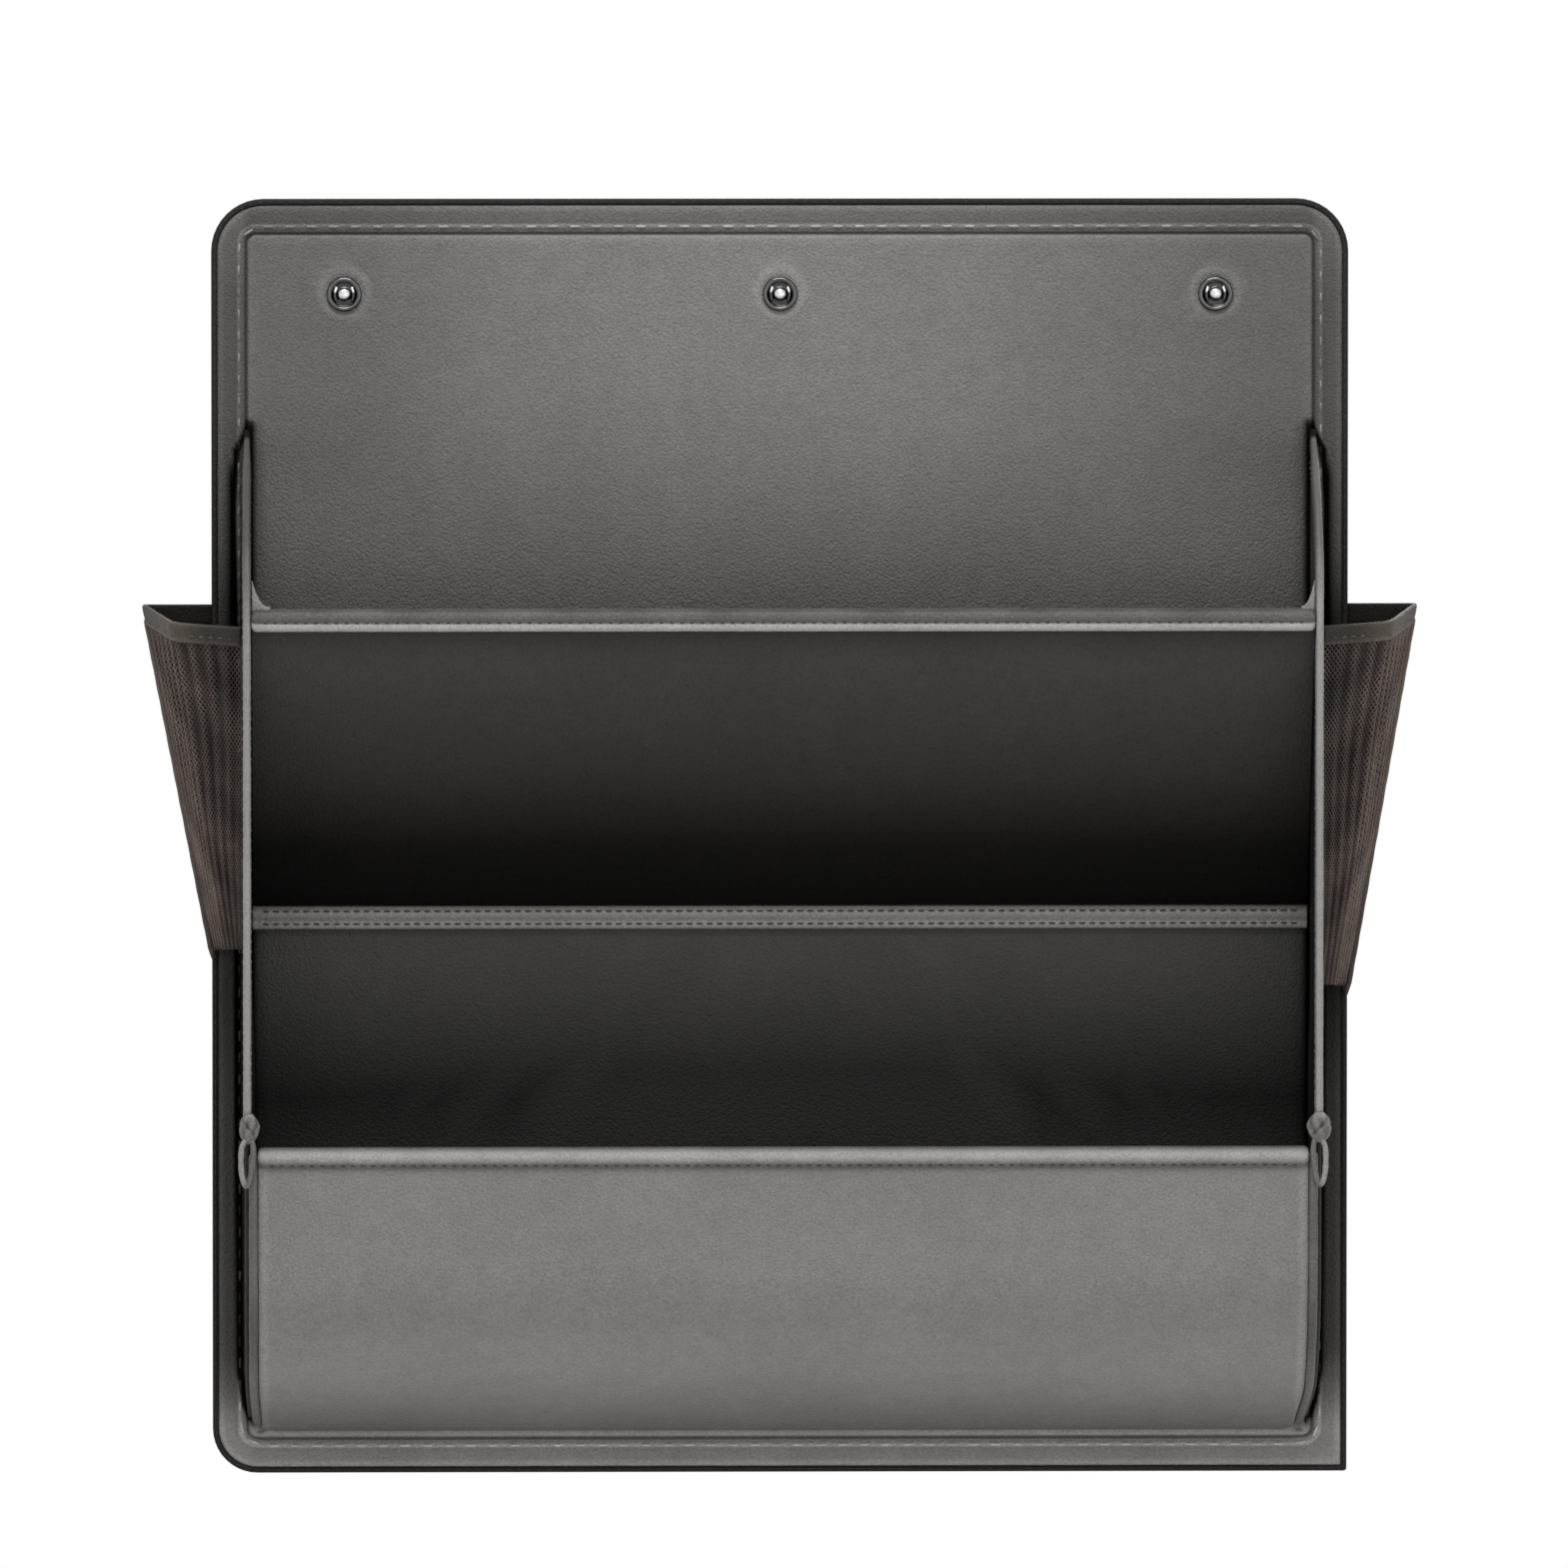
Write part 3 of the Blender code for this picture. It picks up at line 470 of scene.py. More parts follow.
studs = {
    "x": {"left": -0.1992, "centre": 0.0, "right": 0.1992}, "z": 0.2485, "holeRadius": 0.0025, "washerSeat": 0.0058,
    "fineReach": (0.017, 0.0145), "holeSteps": 40,
    # (amount, distance from the stud's middle, reach): rubbed tone, raised rim, sunk middle
    "rub": (0.26, 0.0104, 0.0040), "rim": (0.00042, 0.0108, 0.0030), "sink": (0.00035, 0.0, 0.0098),
}
studSpots = [(x, studs["z"]) for x in studs["x"].values()]


face = {
    "beadInset": 0.0126, "beadWidth": 0.0010, "beadPull": 0.00007, "beadTone": 0.06, "rowDepth": 0.0062,
    "cornerBlend": (0.0035, 0.0108), "fieldDepth": 0.0059, "fieldHalf": (0.2425, 0.2745), "frontFrom": 0.0055,
    # (inset, depth, tone) from the tape inwards: a darker border band, with painted shade in the groove and a painted
    # highlight just inside it
    "rings": [
        (0.0027, 0.0053, 0.55), (0.0031, 0.00575, 0.15), (0.0043, 0.00592, 0.12), (0.0063, 0.0059, 0.36),
        (0.009, 0.0059, 0.38), (0.0106, 0.00582, 0.42), (0.0113, 0.00574, 0.44), (0.0118, 0.00606, 0.14),
        (0.0126, 0.00628, 0.0), (0.0134, 0.00606, 0.08), (0.0139, 0.00578, 0.34), (0.0147, 0.00572, 0.36),
        (0.0152, 0.00556, 0.5), (0.0156, 0.00508, 0.7), (0.016, 0.00498, 0.72), (0.0164, 0.00508, 0.6),
        (0.0168, 0.0056, 0.1), (0.0175, 0.00585, -0.14), (0.0188, 0.00594, -0.1), (0.0215, 0.00594, 0.0),
    ],
    "field": [0.026, 0.031, 0.036, 0.041, 0.046, 0.051, 0.057, 0.066, 0.082, 0.105, 0.140, 0.185, 0.235, 0.254],
    "wave": 0.00010, "rearDepth": 0.0042,
    # (height, tone) of painted light and shade down the strips outside the walls, and down the field between them:
    # darker inside the pockets and beside the walls, paler along the bottom edge
    "stripTone": [
        (-0.292, -0.95), (-0.27, -0.85), (-0.256, 0.05), (-0.238, 0.52), (-0.12, 0.62), (-0.075, 0.76),
        (0.1, 0.78), (0.135, 0.58), (0.17, 0.49), (0.2, 0.45), (0.25, 0.42), (0.28, 0.1),
    ],
    "fieldTone": [
        (-0.292, -0.95), (-0.278, -0.8), (-0.266, 0.6), (-0.12, 0.93), (-0.057, 0.74), (0.06, 0.66),
        (0.125, 0.38), (0.16, 0.16), (0.195, 0.04), (0.21, 0.0),
    ],
    # (across, tone): painted light and shade, the top paler in the middle than near the corners
    "acrossTone": [
        (-0.243, 0.38), (-0.2, 0.33), (-0.13, 0.08), (-0.05, -0.06), (0.05, -0.06), (0.13, 0.1), (0.2, 0.34),
        (0.243, 0.4),
    ],
    # dark bands beside each wall: (height, across) outside it, then across inside, and the bands' half widths
    "outerShade": [
        (-0.273, 0.238), (-0.2713, 0.2392), (-0.2674, 0.2423), (-0.2607, 0.2449), (-0.251, 0.2464),
        (-0.245, 0.2474), (0.1, 0.2496), (0.15, 0.2506), (0.168, 0.2495), (0.177, 0.2484), (0.1816, 0.2461),
        (0.1865, 0.2435), (0.191, 0.2425),
    ],
    "innerShade": 0.2410, "halfShade": {"outer": 0.0019, "inner": 0.0023}, "shade": 0.97,
}


def edgeShade(away, half):
    # a flat band with soft edges
    return smoothStep((half - np.abs(away)) / 0.0014 + 0.5)


def paintedLightAndShade(x, z):
    # painted shade, darker inside the pockets, beside the walls and more on the right strip, and painted light, paler
    # across the middle of the top and along the bottom edge
    strip, field = tableAt(z, face["stripTone"]), tableAt(z, face["fieldTone"])
    across = tableAt(x, face["acrossTone"]) * smoothStep((z - 0.13) / 0.05)
    share = smoothStep((0.2462 - np.abs(x)) / 0.003)
    inField = 1 - (1 - field) * (1 - across)
    besideRight = 0.13 * (x > 0) * smoothStep((0.13 - z) / 0.05) * smoothStep((z + 0.262) / 0.03)
    tone = (strip + besideRight) * (1 - share) + inField * share
    outer = edgeShade(np.abs(x) - tableAt(z, face["outerShade"]), face["halfShade"]["outer"])
    inner = edgeShade(np.abs(x) - face["innerShade"], face["halfShade"]["inner"]) * smoothStep((z + 0.262) / 0.008)
    beside = np.maximum(outer, inner) * smoothStep((0.1925 - z) / 0.003) * smoothStep((z + 0.2745) / 0.002)
    return 1 - (1 - tone) * (1 - face["shade"] * beside)


def makeFace():
    outer = panelRing(face["rings"][0][0])
    size = len(outer)
    pull = np.array([1.0, -1.0])[np.arange(size) % 2]
    rings, tones = [(outer, face["rearDepth"])], [np.full(size, 0.5)]
    start, stop = face["cornerBlend"]
    for inset, depth, tone in face["rings"]:
        share = smoothStep((inset - start) / (stop - start))
        outline = panelRing(inset) * (1 - share) + borderRing(inset) * share
        onBead = float(bump(inset, face["beadInset"], face["beadWidth"]))
        rings.append((outline, depth + pull * face["beadPull"] * onBead))
        # the bead's raised points are painted paler and its sunk ones darker, as glints and shade
        tones.append(tone - pull * face["beadTone"] * onBead)
    for inset in face["field"]:
        rings.append((borderRing(inset), face["fieldDepth"]))
        tones.append(np.zeros(size))
    obj = ringPiece("faceLeather", rings)
    setTone(obj, np.concatenate(tones))

    shape = bmesh.new()
    shape.from_mesh(obj.data)

    def nearStud(vert, reach):
        isFront = vert.co.y < -face["frontFrom"]
        return isFront and any(math.hypot(vert.co.x - x, vert.co.z - z) < reach for x, z in studSpots)

    for reach in studs["fineReach"]:
        edges = [e for e in shape.edges if nearStud(e.verts[0], reach) and nearStud(e.verts[1], reach)]
        bmesh.ops.subdivide_edges(shape, edges=edges, cuts=1, use_grid_fill=True)
    painted = shape.verts.layers.float["tone"]
    for vert in shape.verts:
        x, z = vert.co.x, vert.co.z
        # painted shade inside the pockets and beside the walls, painted light along the top and bottom
        vert[painted] = 1 - (1 - vert[painted]) * (1 - float(paintedLightAndShade(x, z)))
        rub, rim, sink = (sum(amount * float(bump(math.hypot(x - sx, z - sz), middle, reach)) for sx, sz in studSpots)
                          for amount, middle, reach in (studs["rub"], studs["rim"], studs["sink"]))
        vert[painted] -= rub
        inward = min(face["fieldHalf"][0] - abs(x), face["fieldHalf"][1] - abs(z))
        if vert.co.y > -face["frontFrom"] or inward < 0:
            continue
        swell = math.sin(23 * x + 2.0 * math.sin(17 * z)) * math.sin(19 * z + 1.3 + 1.5 * math.sin(13 * x))
        vert.co.y -= swell * face["wave"] * min(1, inward / 0.03) + rim - sink
    shape.to_mesh(obj.data)
    shape.free()
    obj.data.shade_smooth()
    cutHoles(obj, studSpots, studs["holeRadius"])
    finishPiece(obj, looks["panelLeather"], nodes=["face_leather"])
    row = [(closedLine(borderRing(face["beadInset"]), -face["rowDepth"]), (0, -1, 0))]
    # the border stitches take the painted light and shade of the leather round them
    stitchRow("borderStitches", row, looks["thread"], size=1.7, pitch=0.0100,
              toneAt=lambda spot: min(0.99, max(-0.6, 1.3 * float(paintedLightAndShade(spot[0], spot[2])) - 0.28)))


lining = {
    # (inset, depth) rings from the turned edge to the row of stitches, then the insets of the plain field
    "edge": [(0.0035, 0.0010), (0.0035, 0.0004), (0.0038, 0.00022), (0.006, 0.00022), (0.0095, 0.00022)],
    "row": [(0.0118, 0.00022), (0.0126, 0.00040), (0.0134, 0.00022)], "rear": 0.00022,
    "field": (0.017, 0.024, 0.034, 0.050, 0.075, 0.11, 0.16, 0.22, 0.254),
    "rowInset": 0.0126, "rowDepth": 0.00034, "rowHalf": 0.238, "sideRow": (0.186, -0.262),
}


def makeRearLining():
    rings = [(panelRing(inset), depth) for inset, depth in lining["edge"]]
    rings += [(borderRing(inset), depth) for inset, depth in lining["row"]]
    rings += [(borderRing(inset), lining["rear"]) for inset in lining["field"]]
    obj = ringPiece("rearLining", rings)
    cutHoles(obj, studSpots, studs["washerSeat"])
    finishPiece(obj, looks["liningCloth"], nodes=["rear_lining"])
    out, y, end = (0, 1, 0), -lining["rowDepth"], lining["rowHalf"]
    paths = [(closedLine(borderRing(lining["rowInset"]), y), out)]
    paths += [([(x, y, z) for z in lining["sideRow"]], out) for x in (-side["x"], side["x"])]
    paths += [([(-end, y, z), (end, y, z)], out) for z in (*stitch["seamRows"], stitch["footRow"])]
    stitchRow("rearStitches", paths, looks["darkThread"])


tape = {
    # (inset, depth) round the folded tape's section
    "section": [
        (0.0032, 0.0003), (0.0029, 0.00008), (0.0022, 0.00002), (0.001, 0.0), (0.00055, 0.00012),
        (0.00018, 0.00045), (0.0, 0.001), (0.0, 0.0032), (0.00004, 0.0052), (0.0002, 0.0058), (0.00062, 0.0063),
        (0.0012, 0.00648), (0.0016, 0.0064), (0.002, 0.00646), (0.0023, 0.0063), (0.00255, 0.0059),
        (0.0025, 0.0046), (0.0017, 0.0042), (0.0015, 0.004), (0.0015, 0.0012), (0.0017, 0.001), (0.0032, 0.0009),
    ],
    "waver": 0.00010, "rowInset": 0.0015, "step": 0.003,
}


def makeEdgeBinding():
    rings = []
    for inset, depth in tape["section"]:
        outline = panelRing(inset, tape["step"])
        count = np.arange(len(outline))
        wave = np.sin(count * 0.9) * 0.6 + np.sin(count * 0.23 + 1) * 0.4
        # only the free inner edge wavers
        waver = tape["waver"] * wave * (1 if inset > 0.0022 and depth > 0.005 else 0)
        rings.append((outline, depth + waver))
    obj = ringPiece("edgeBinding", rings, True)
    finishPiece(obj, looks["edgeTape"], nodes=["edge_binding"])
    row = panelRing(tape["rowInset"])
    paths = [(closedLine(row, y), (0, way, 0)) for y, way in ((-0.00638, -1), (-0.00012, 1))]
    stitchRow("tapeStitches", paths, looks["darkThread"], size=0.75)


makeFace()
makeRearLining()
makeEdgeBinding()
print("back panel ready")


stud = {
    # (radius, depth) from the centre of the dome to the back of the shank
    "profile": [
        (0.0, 0.0092), (0.001, 0.00912), (0.0019, 0.0088), (0.0026, 0.0082), (0.003, 0.0075), (0.003, 0.0071),
        (0.0033, 0.0068), (0.004, 0.00665), (0.0051, 0.0067), (0.0056, 0.007), (0.006, 0.0075), (0.0065, 0.00775),
        (0.007, 0.0078), (0.0075, 0.0076), (0.0078, 0.0071), (0.008, 0.0064), (0.0079, 0.0061), (0.0023, 0.0061),
        (0.0022, 0.0059), (0.0022, 0.0003), (0.0, 0.0003),
    ],
    # (radius, tone): painted reflections, a bright dome, a dark dish and a duller rim
    "tone": [
        (0.0, -0.2), (0.002, 0.0), (0.0028, 0.6), (0.0034, 0.92), (0.0056, 0.92), (0.0064, 0.84), (0.0072, 0.8),
        (0.0078, 0.88),
    ],
    "steps": 56, "springX": 0.0042, "springRadius": 0.00068, "springHalf": 0.0034, "springDepth": 0.0074,
}


def makeStuds():
    for sideName, x in studs["x"].items():
        points = []
        size, rows = stud["steps"], len(stud["profile"])
        for radius, depth in stud["profile"][1:-1]:
            for k in range(size):
                turn = 2 * math.pi * k / size
                points.append((x + radius * math.cos(turn), -depth, studs["z"] + radius * math.sin(turn)))
        front, back = len(points), len(points) + 1
        points += [(x, -stud["profile"][0][1], studs["z"]), (x, -stud["profile"][-1][1], studs["z"])]
        faces = ringFaces(rows - 2, size)[:-2]   # without its two end caps
        for k in range(size):
            m = (k + 1) % size
            faces.append((front, k, m))
            faces.append((back, (rows - 3) * size + k, (rows - 3) * size + m))
        head = makeObject("stud_" + sideName + "_cap", points, faces)
        co = readPoints(head)
        away = np.hypot(co[:, 0] - x, co[:, 2] - studs["z"])
        # painted reflections on the stud's head
        setTone(head, tableAt(away, stud["tone"]))
        finishPiece(head, looks["chrome"], nodes=["stud_" + sideName])
        for number, offset in enumerate((-1, 1)):
            # a spring wire bowed across the socket, its ends tucked under the rim
            path = []
            for k in range(17):
                t = k / 8 - 1
                path.append((x + offset * (stud["springX"] - 0.0008 * t * t), -stud["springDepth"] + 0.0004 * t ** 4,
                             studs["z"] + stud["springHalf"] * t))
            wire = sweepPiece("stud_" + sideName + "_spring_" + str(number), path, (0, 1, 0),
                              lambda i: roundSection(stud["springRadius"], 10))
            # painted highlight on the wire's upper half, painted shade below
            setTone(wire, 0.88 - 1.2 * smoothStep((heights(wire) - studs["z"] - 0.0004) / 0.0014))
            finishPiece(wire, looks["chrome"])


makeStuds()
print("studs ready")


def bend(start, control, end, steps):
    # Points along a curve that leaves its start and meets its end towards the control point.
    t = np.linspace(0, 1, steps + 1)[:, None]
    return (1 - t) ** 2 * np.array(start) + 2 * t * (1 - t) * np.array(control) + t * t * np.array(end)


def wallEdge(inset):
    # The side wall's free front edge as (depth, z), from its tip down to the curved base.
    front = pocket["depth"] - inset
    tip = (panel["wallRear"], side["tipZ"] - 1.6 * inset)
    control = (side["bendReach"] - inset, side["tipZ"] - side["bendDrop"] - inset)
    return [*bend(tip, control, (front, side["tipZ"] - side["curveDrop"]), 26), (front, pocket["baseTopZ"])]


def bellyEdge(inset, runShare=1.0, steps=26):
    # The lower pocket's curved base as (depth, z), down to the bottom seam.
    reach = pocket["depth"] - panel["wallRear"]
    drop = pocket["baseTopZ"] - pocket["seamZ"]
    power = pocket["bellyPower"]
    spots = []
    for i in range(steps + 1):
        t = runShare * math.sin(math.pi / 2 * i / steps)
        slope = Vector((-reach * power * t ** (power - 1), -drop)).normalized()
        depth = panel["wallRear"] + reach * (1 - t ** power) + slope.y * inset
        z = pocket["baseTopZ"] - drop * t - slope.x * inset
        if depth < panel["wallRear"]:
            lastDepth, lastZ = spots[-1]
            share = (lastDepth - panel["wallRear"]) / (lastDepth - depth)
            spots.append((panel["wallRear"], lastZ + (z - lastZ) * share))
            break
        spots.append((depth, z))
    return spots


foot = {"from": -0.247, "reach": 0.026, "draw": {"left": 0.0014, "right": 0.0034}}


def footDraw(sideName, z):
    # how far the lower pocket's side is drawn in towards its bottom seam
    return foot["draw"][sideName] * smoothStep((foot["from"] - z) / foot["reach"])


def drawnIn(x, z, half):
    return x * (1 - np.where(x < 0, footDraw("left", z), footDraw("right", z)) / half)


def tapeShade(z):
    # painted shade, darker towards the binding's tip, where it lies back against the panel
    return wallTape["shade"] * smoothStep((z - wallTape["shadeFrom"]) / wallTape["shadeReach"])


wall = {"edgeInset": 0.0057, "rear": 0.0054, "creaseIn": 0.0022, "waver": 0.00035, "lean": 0.0003, "innerTone": 0.75}
wallTape = {
    "tape": 0.0090, "halfWidth": 0.0018, "proud": 0.0008, "slotHalf": 0.0013, "slotInset": 0.0054,
    "tipShare": 0.74, "tipReach": 0.035, "tipDark": 0.97,
    "rowInset": 0.0072, "endZ": -0.1222, "step": 0.003,
    # painted light: the right binding paler than the left; shadeFrom, shadeReach and shade give painted shade towards
    # the tip
    "tone": {"left": 0.06, "right": -0.40}, "tipZ": 0.1812, "shadeFrom": 0.092, "shadeReach": 0.050, "shade": 0.76,
}


def makeSideWall(sideName, sign):
    edge = wallEdge(wall["edgeInset"]) + bellyEdge(wall["edgeInset"])[1:]
    edgeDepth, edgeZ = np.array(edge).T
    top, low = edgeZ[0], edgeZ[-1]
    order = np.argsort(edgeZ)

    def place(u, v):
        z = top + (low - top) * v
        front = np.interp(z, edgeZ[order], edgeDepth[order])
        depth = wall["rear"] + (front - wall["rear"]) * u
        # folded flat for storage before, so it keeps a soft crease down the middle of the lower part
        crease = wall["creaseIn"] * bump(u, 0.5, 0.5) ** 2 * bump(z, -0.115, 0.075)
        crease = crease + 0.0006 * bump(u, 0.5, 0.5) * bump(z, 0.03, 0.13)
        ripple = wall["waver"] * np.sin(40 * z + 3 * u) * np.sin(math.pi * u) * smoothStep((0.16 - z) / 0.05)
        x = sign * (side["x"] - wall["lean"] * u - crease - np.abs(ripple) - footDraw(sideName, z))
        return x, depth, z

    us = np.concatenate([[0, 0.004, 0.010], np.linspace(0.02, 0.98, 33), [0.990, 0.996, 1]])
    vs = np.concatenate([[0, 0.0008, 0.002], np.linspace(0.005, 0.995, 96), [0.998, 0.9992, 1]])
    obj = sheetPiece(sideName + "SideWall", us, vs, place, side["thickness"], (sign, 0, 0))
    # painted shade on the inner side, inside the pockets
    z = heights(obj)
    inner = np.arange(len(z)) >= len(us) * len(vs)
    setTone(obj, wall["innerTone"] * inner * smoothStep((0.14 - z) / 0.06))
    finishPiece(obj, looks["wallLeather"], nodes=[sideName + "_gusset"], folds=True)

    # binding folded over the free edge
    line = [spot for spot in wallEdge(0)[1:] if spot[1] > pocket["baseTopZ"]]
    line = [spot for spot in line if spot[1] > wallTape["endZ"]] + [(pocket["depth"], wallTape["endZ"])]
    middle = side["x"] - wall["lean"]
    path = smoothPath([(sign * middle, -depth, z) for depth, z in line], wallTape["step"])
    half, slot = wallTape["halfWidth"], wallTape["slotHalf"]

    def section(i):
        # the normal looks out of the pocket, so the tape lies on its minus side
        fromTip = float(smoothStep(i * wallTape["step"] / wallTape["tipReach"]))
        widen = wallTape["tipShare"] + (1 - wallTape["tipShare"]) * fromTip
        pinch = widen * (1 - 0.05 * (0.5 + 0.5 * math.sin(i * 2.1)) - 0.03 * math.sin(i * 0.37))
        outer = [(half, wallTape["tape"]), (half + 0.00008, 0.0078), (half - 0.0002, wallTape["rowInset"]),
                 (half + 0.00008, 0.0060), (half, 0.0034), (half * 0.985, 0.0012), (half * 0.87, 0.0),
                 (half * 0.62, -0.00052), (half * 0.3, -0.00074), (0, -wallTape["proud"])]
        outer = [(a * pinch, -b) for a, b in outer]
        gap, end = slot * widen, -wallTape["tape"] - 0.0001
        inner = [(-gap, end), (-gap, -wallTape["slotInset"]), (gap, -wallTape["slotInset"]), (gap, end)]
        return outer + [(-a, b) for a, b in outer[-2::-1]] + inner

    binding = sweepPiece(sideName + "WallBinding", path, (1, 0, 0), section)
    z = heights(binding)
    # painted light by side, painted shade towards the tip, and a black painted shadow at the very tip
    tone = 1 - (1 - wallTape["tone"][sideName]) * (1 - tapeShade(z))
    tip = wallTape["tipDark"] * smoothStep((z - wallTape["tipZ"]) / 0.0022)
    setTone(binding, np.maximum(tone, tip))
    finishPiece(binding, looks["paleBinding"], nodes=[sideName + "_gusset_binding"], folds=True)
    inner = [spot for spot in wallEdge(wallTape["rowInset"]) if spot[1] > wallTape["endZ"] + 0.004]
    inner = inner[2:] + [(pocket["depth"] - wallTape["rowInset"], wallTape["endZ"] + 0.003)]
    rows = []
    for out in (-1, 1):
        x = sign * middle + out * (half - 0.00022)
        rows.append(([(x, -depth, z) for depth, z in inner], (out, 0, 0)))
    stitchRow(sideName + "BindingStitches", rows, looks["thread"], folds=True, size=0.85,
              toneAt=lambda spot: float(tapeShade(spot[2])))


for sideName, sign in sides:
    makeSideWall(sideName, sign)
print("side walls ready")


lip = {
    # (across, up, tone) from the hem's foot over its top: a bead with a painted highlight, a stitched valley, and a
    # rolled top and back in painted shade
    "upper": [
        (0.0026, 0.0, 0.3), (0.0032, -0.0002, 0.1), (0.0039, 0.0002, -0.4), (0.00445, 0.001, -1.1),
        (0.00465, 0.0021, -1.3), (0.0045, 0.0032, -1.2), (0.0041, 0.004, -0.75), (0.00365, 0.0044, 0.1),
        (0.0034, 0.0048, 0.42), (0.0035, 0.0054, 0.36), (0.0036, 0.0063, 0.36), (0.0034, 0.0073, 0.42),
        (0.0027, 0.0084, 0.55), (0.0015, 0.009, 0.65), (0.0, 0.0092, 0.7), (-0.0015, 0.009, 0.6),
        (-0.0027, 0.0084, 0.5), (-0.0034, 0.0073, 0.4), (-0.0036, 0.006, 0.4), (-0.0036, 0.003, 0.4),
        (-0.0034, 0.0008, 0.4), (-0.003, 0.0, 0.4), (-0.0026, 0.0, 0.4),
    ],
    # the lower hem is one round roll over a shallow groove, with a painted highlight along the middle of the roll and
    # painted shade in the groove, on its top and down its back
    "lower": [
        (0.0026, 0.0, 0.3), (0.0031, -0.0002, 0.25), (0.0034, 0.0003, 0.4), (0.0035, 0.001, 0.42),
        (0.0039, 0.0017, 0.1), (0.0043, 0.0026, -0.35), (0.0046, 0.0037, -0.6), (0.0046, 0.0048, -0.7),
        (0.0043, 0.0059, -0.6), (0.0038, 0.0069, -0.3), (0.0031, 0.0078, 0.15), (0.0022, 0.0086, 0.45),
        (0.0011, 0.0091, 0.6), (0.0, 0.0092, 0.65), (-0.0015, 0.009, 0.6), (-0.0027, 0.0084, 0.5),
        (-0.0034, 0.0073, 0.4), (-0.0036, 0.006, 0.4), (-0.0036, 0.003, 0.4), (-0.0034, 0.0008, 0.4),
        (-0.003, 0.0, 0.4), (-0.0026, 0.0, 0.4),
    ],
    # the slot inside the hem is painted as dark as its back, as shade
    "slotHalf": 0.00255, "slotUp": 0.0038, "slotPlay": 0.0001, "upperDrop": 0.0010, "endRound": 0.0022, "slotTone": 0.4,
    "upperRow": (0.00352, 0.0046), "lowerRow": (0.00345, 0.0008),
}


def makeLip(name, kind, halfWidth, placeAt, slotUp, body, nodes):
    # placeAt turns (across, up) into (depth, z)
    hem, middle = lip[kind], pocket["lipHeight"] / 2
    xs = edgeLines(2 * halfWidth, lip["endRound"], 0.0040) - halfWidth
    points, tones = [], []
    for i, x in enumerate(xs):
        away = min(x + halfWidth, halfWidth - x)
        fall = 0.55 + 0.45 * roundEnd(away / lip["endRound"])
        ripple = 1 + 0.018 * math.sin(i * 2.4) + 0.012 * math.sin(i * 0.31 + 1)
        for a, b, tone in hem:
            depth, z = placeAt(a * fall * ripple, middle + (b - middle) * fall)
            points.append((x, -depth, z))
            tones.append(tone + 0.07 * math.sin(i * 0.53) * math.sin(i * 0.171 + 2))
        for a in (-lip["slotHalf"], lip["slotHalf"]):
            depth, z = placeAt(a, slotUp)
            points.append((x, -depth, z))
            tones.append(lip["slotTone"])
    obj = makeObject(name, points, ringFaces(len(xs), len(hem) + 2))
    setTone(obj, tones)
    finishPiece(obj, looks["frontLeather"], body, nodes)


def acrossRow(half, depth, z, out=(0, -1, 0)):
    # A straight row of stitches from end to end of a front.
    end = half - stitch["endGap"]
    return [(-end, -depth, z), (end, -depth, z)], out


upper = {
    "earHeight": 0.0125, "earWidth": {"left": 0.0086, "right": 0.0064}, "earThickness": 0.0024, "earLength": 0.016,
    "bulge": 0.0010, "play": 0.0003, "turnIn": 0.00165,   # radius of the leather folded round the board's foot
    # (height, tone) of painted shade down the front, which leans back into the pocket below: darker towards the bottom
    # and just under the lip
    "frontTone": [
        (-0.029, 0.92), (-0.003, 0.88), (0.015, 0.73), (0.047, 0.43), (0.084, 0.16), (0.091, 0.26), (0.098, 0.5),
    ],
}
rise = pocket["upperLipZ"] - pocket["hingeZ"]
reachOut = pocket["depth"] - pocket["frontHalf"] - pocket["hingeDepth"]
leanAngle = math.atan2(reachOut, rise)
slabLength = math.hypot(reachOut, rise)


def leaned(across, along):
    depth = pocket["hingeDepth"] + across * math.cos(leanAngle) + along * math.sin(leanAngle)
    return depth, pocket["hingeZ"] - across * math.sin(leanAngle) + along * math.cos(leanAngle)


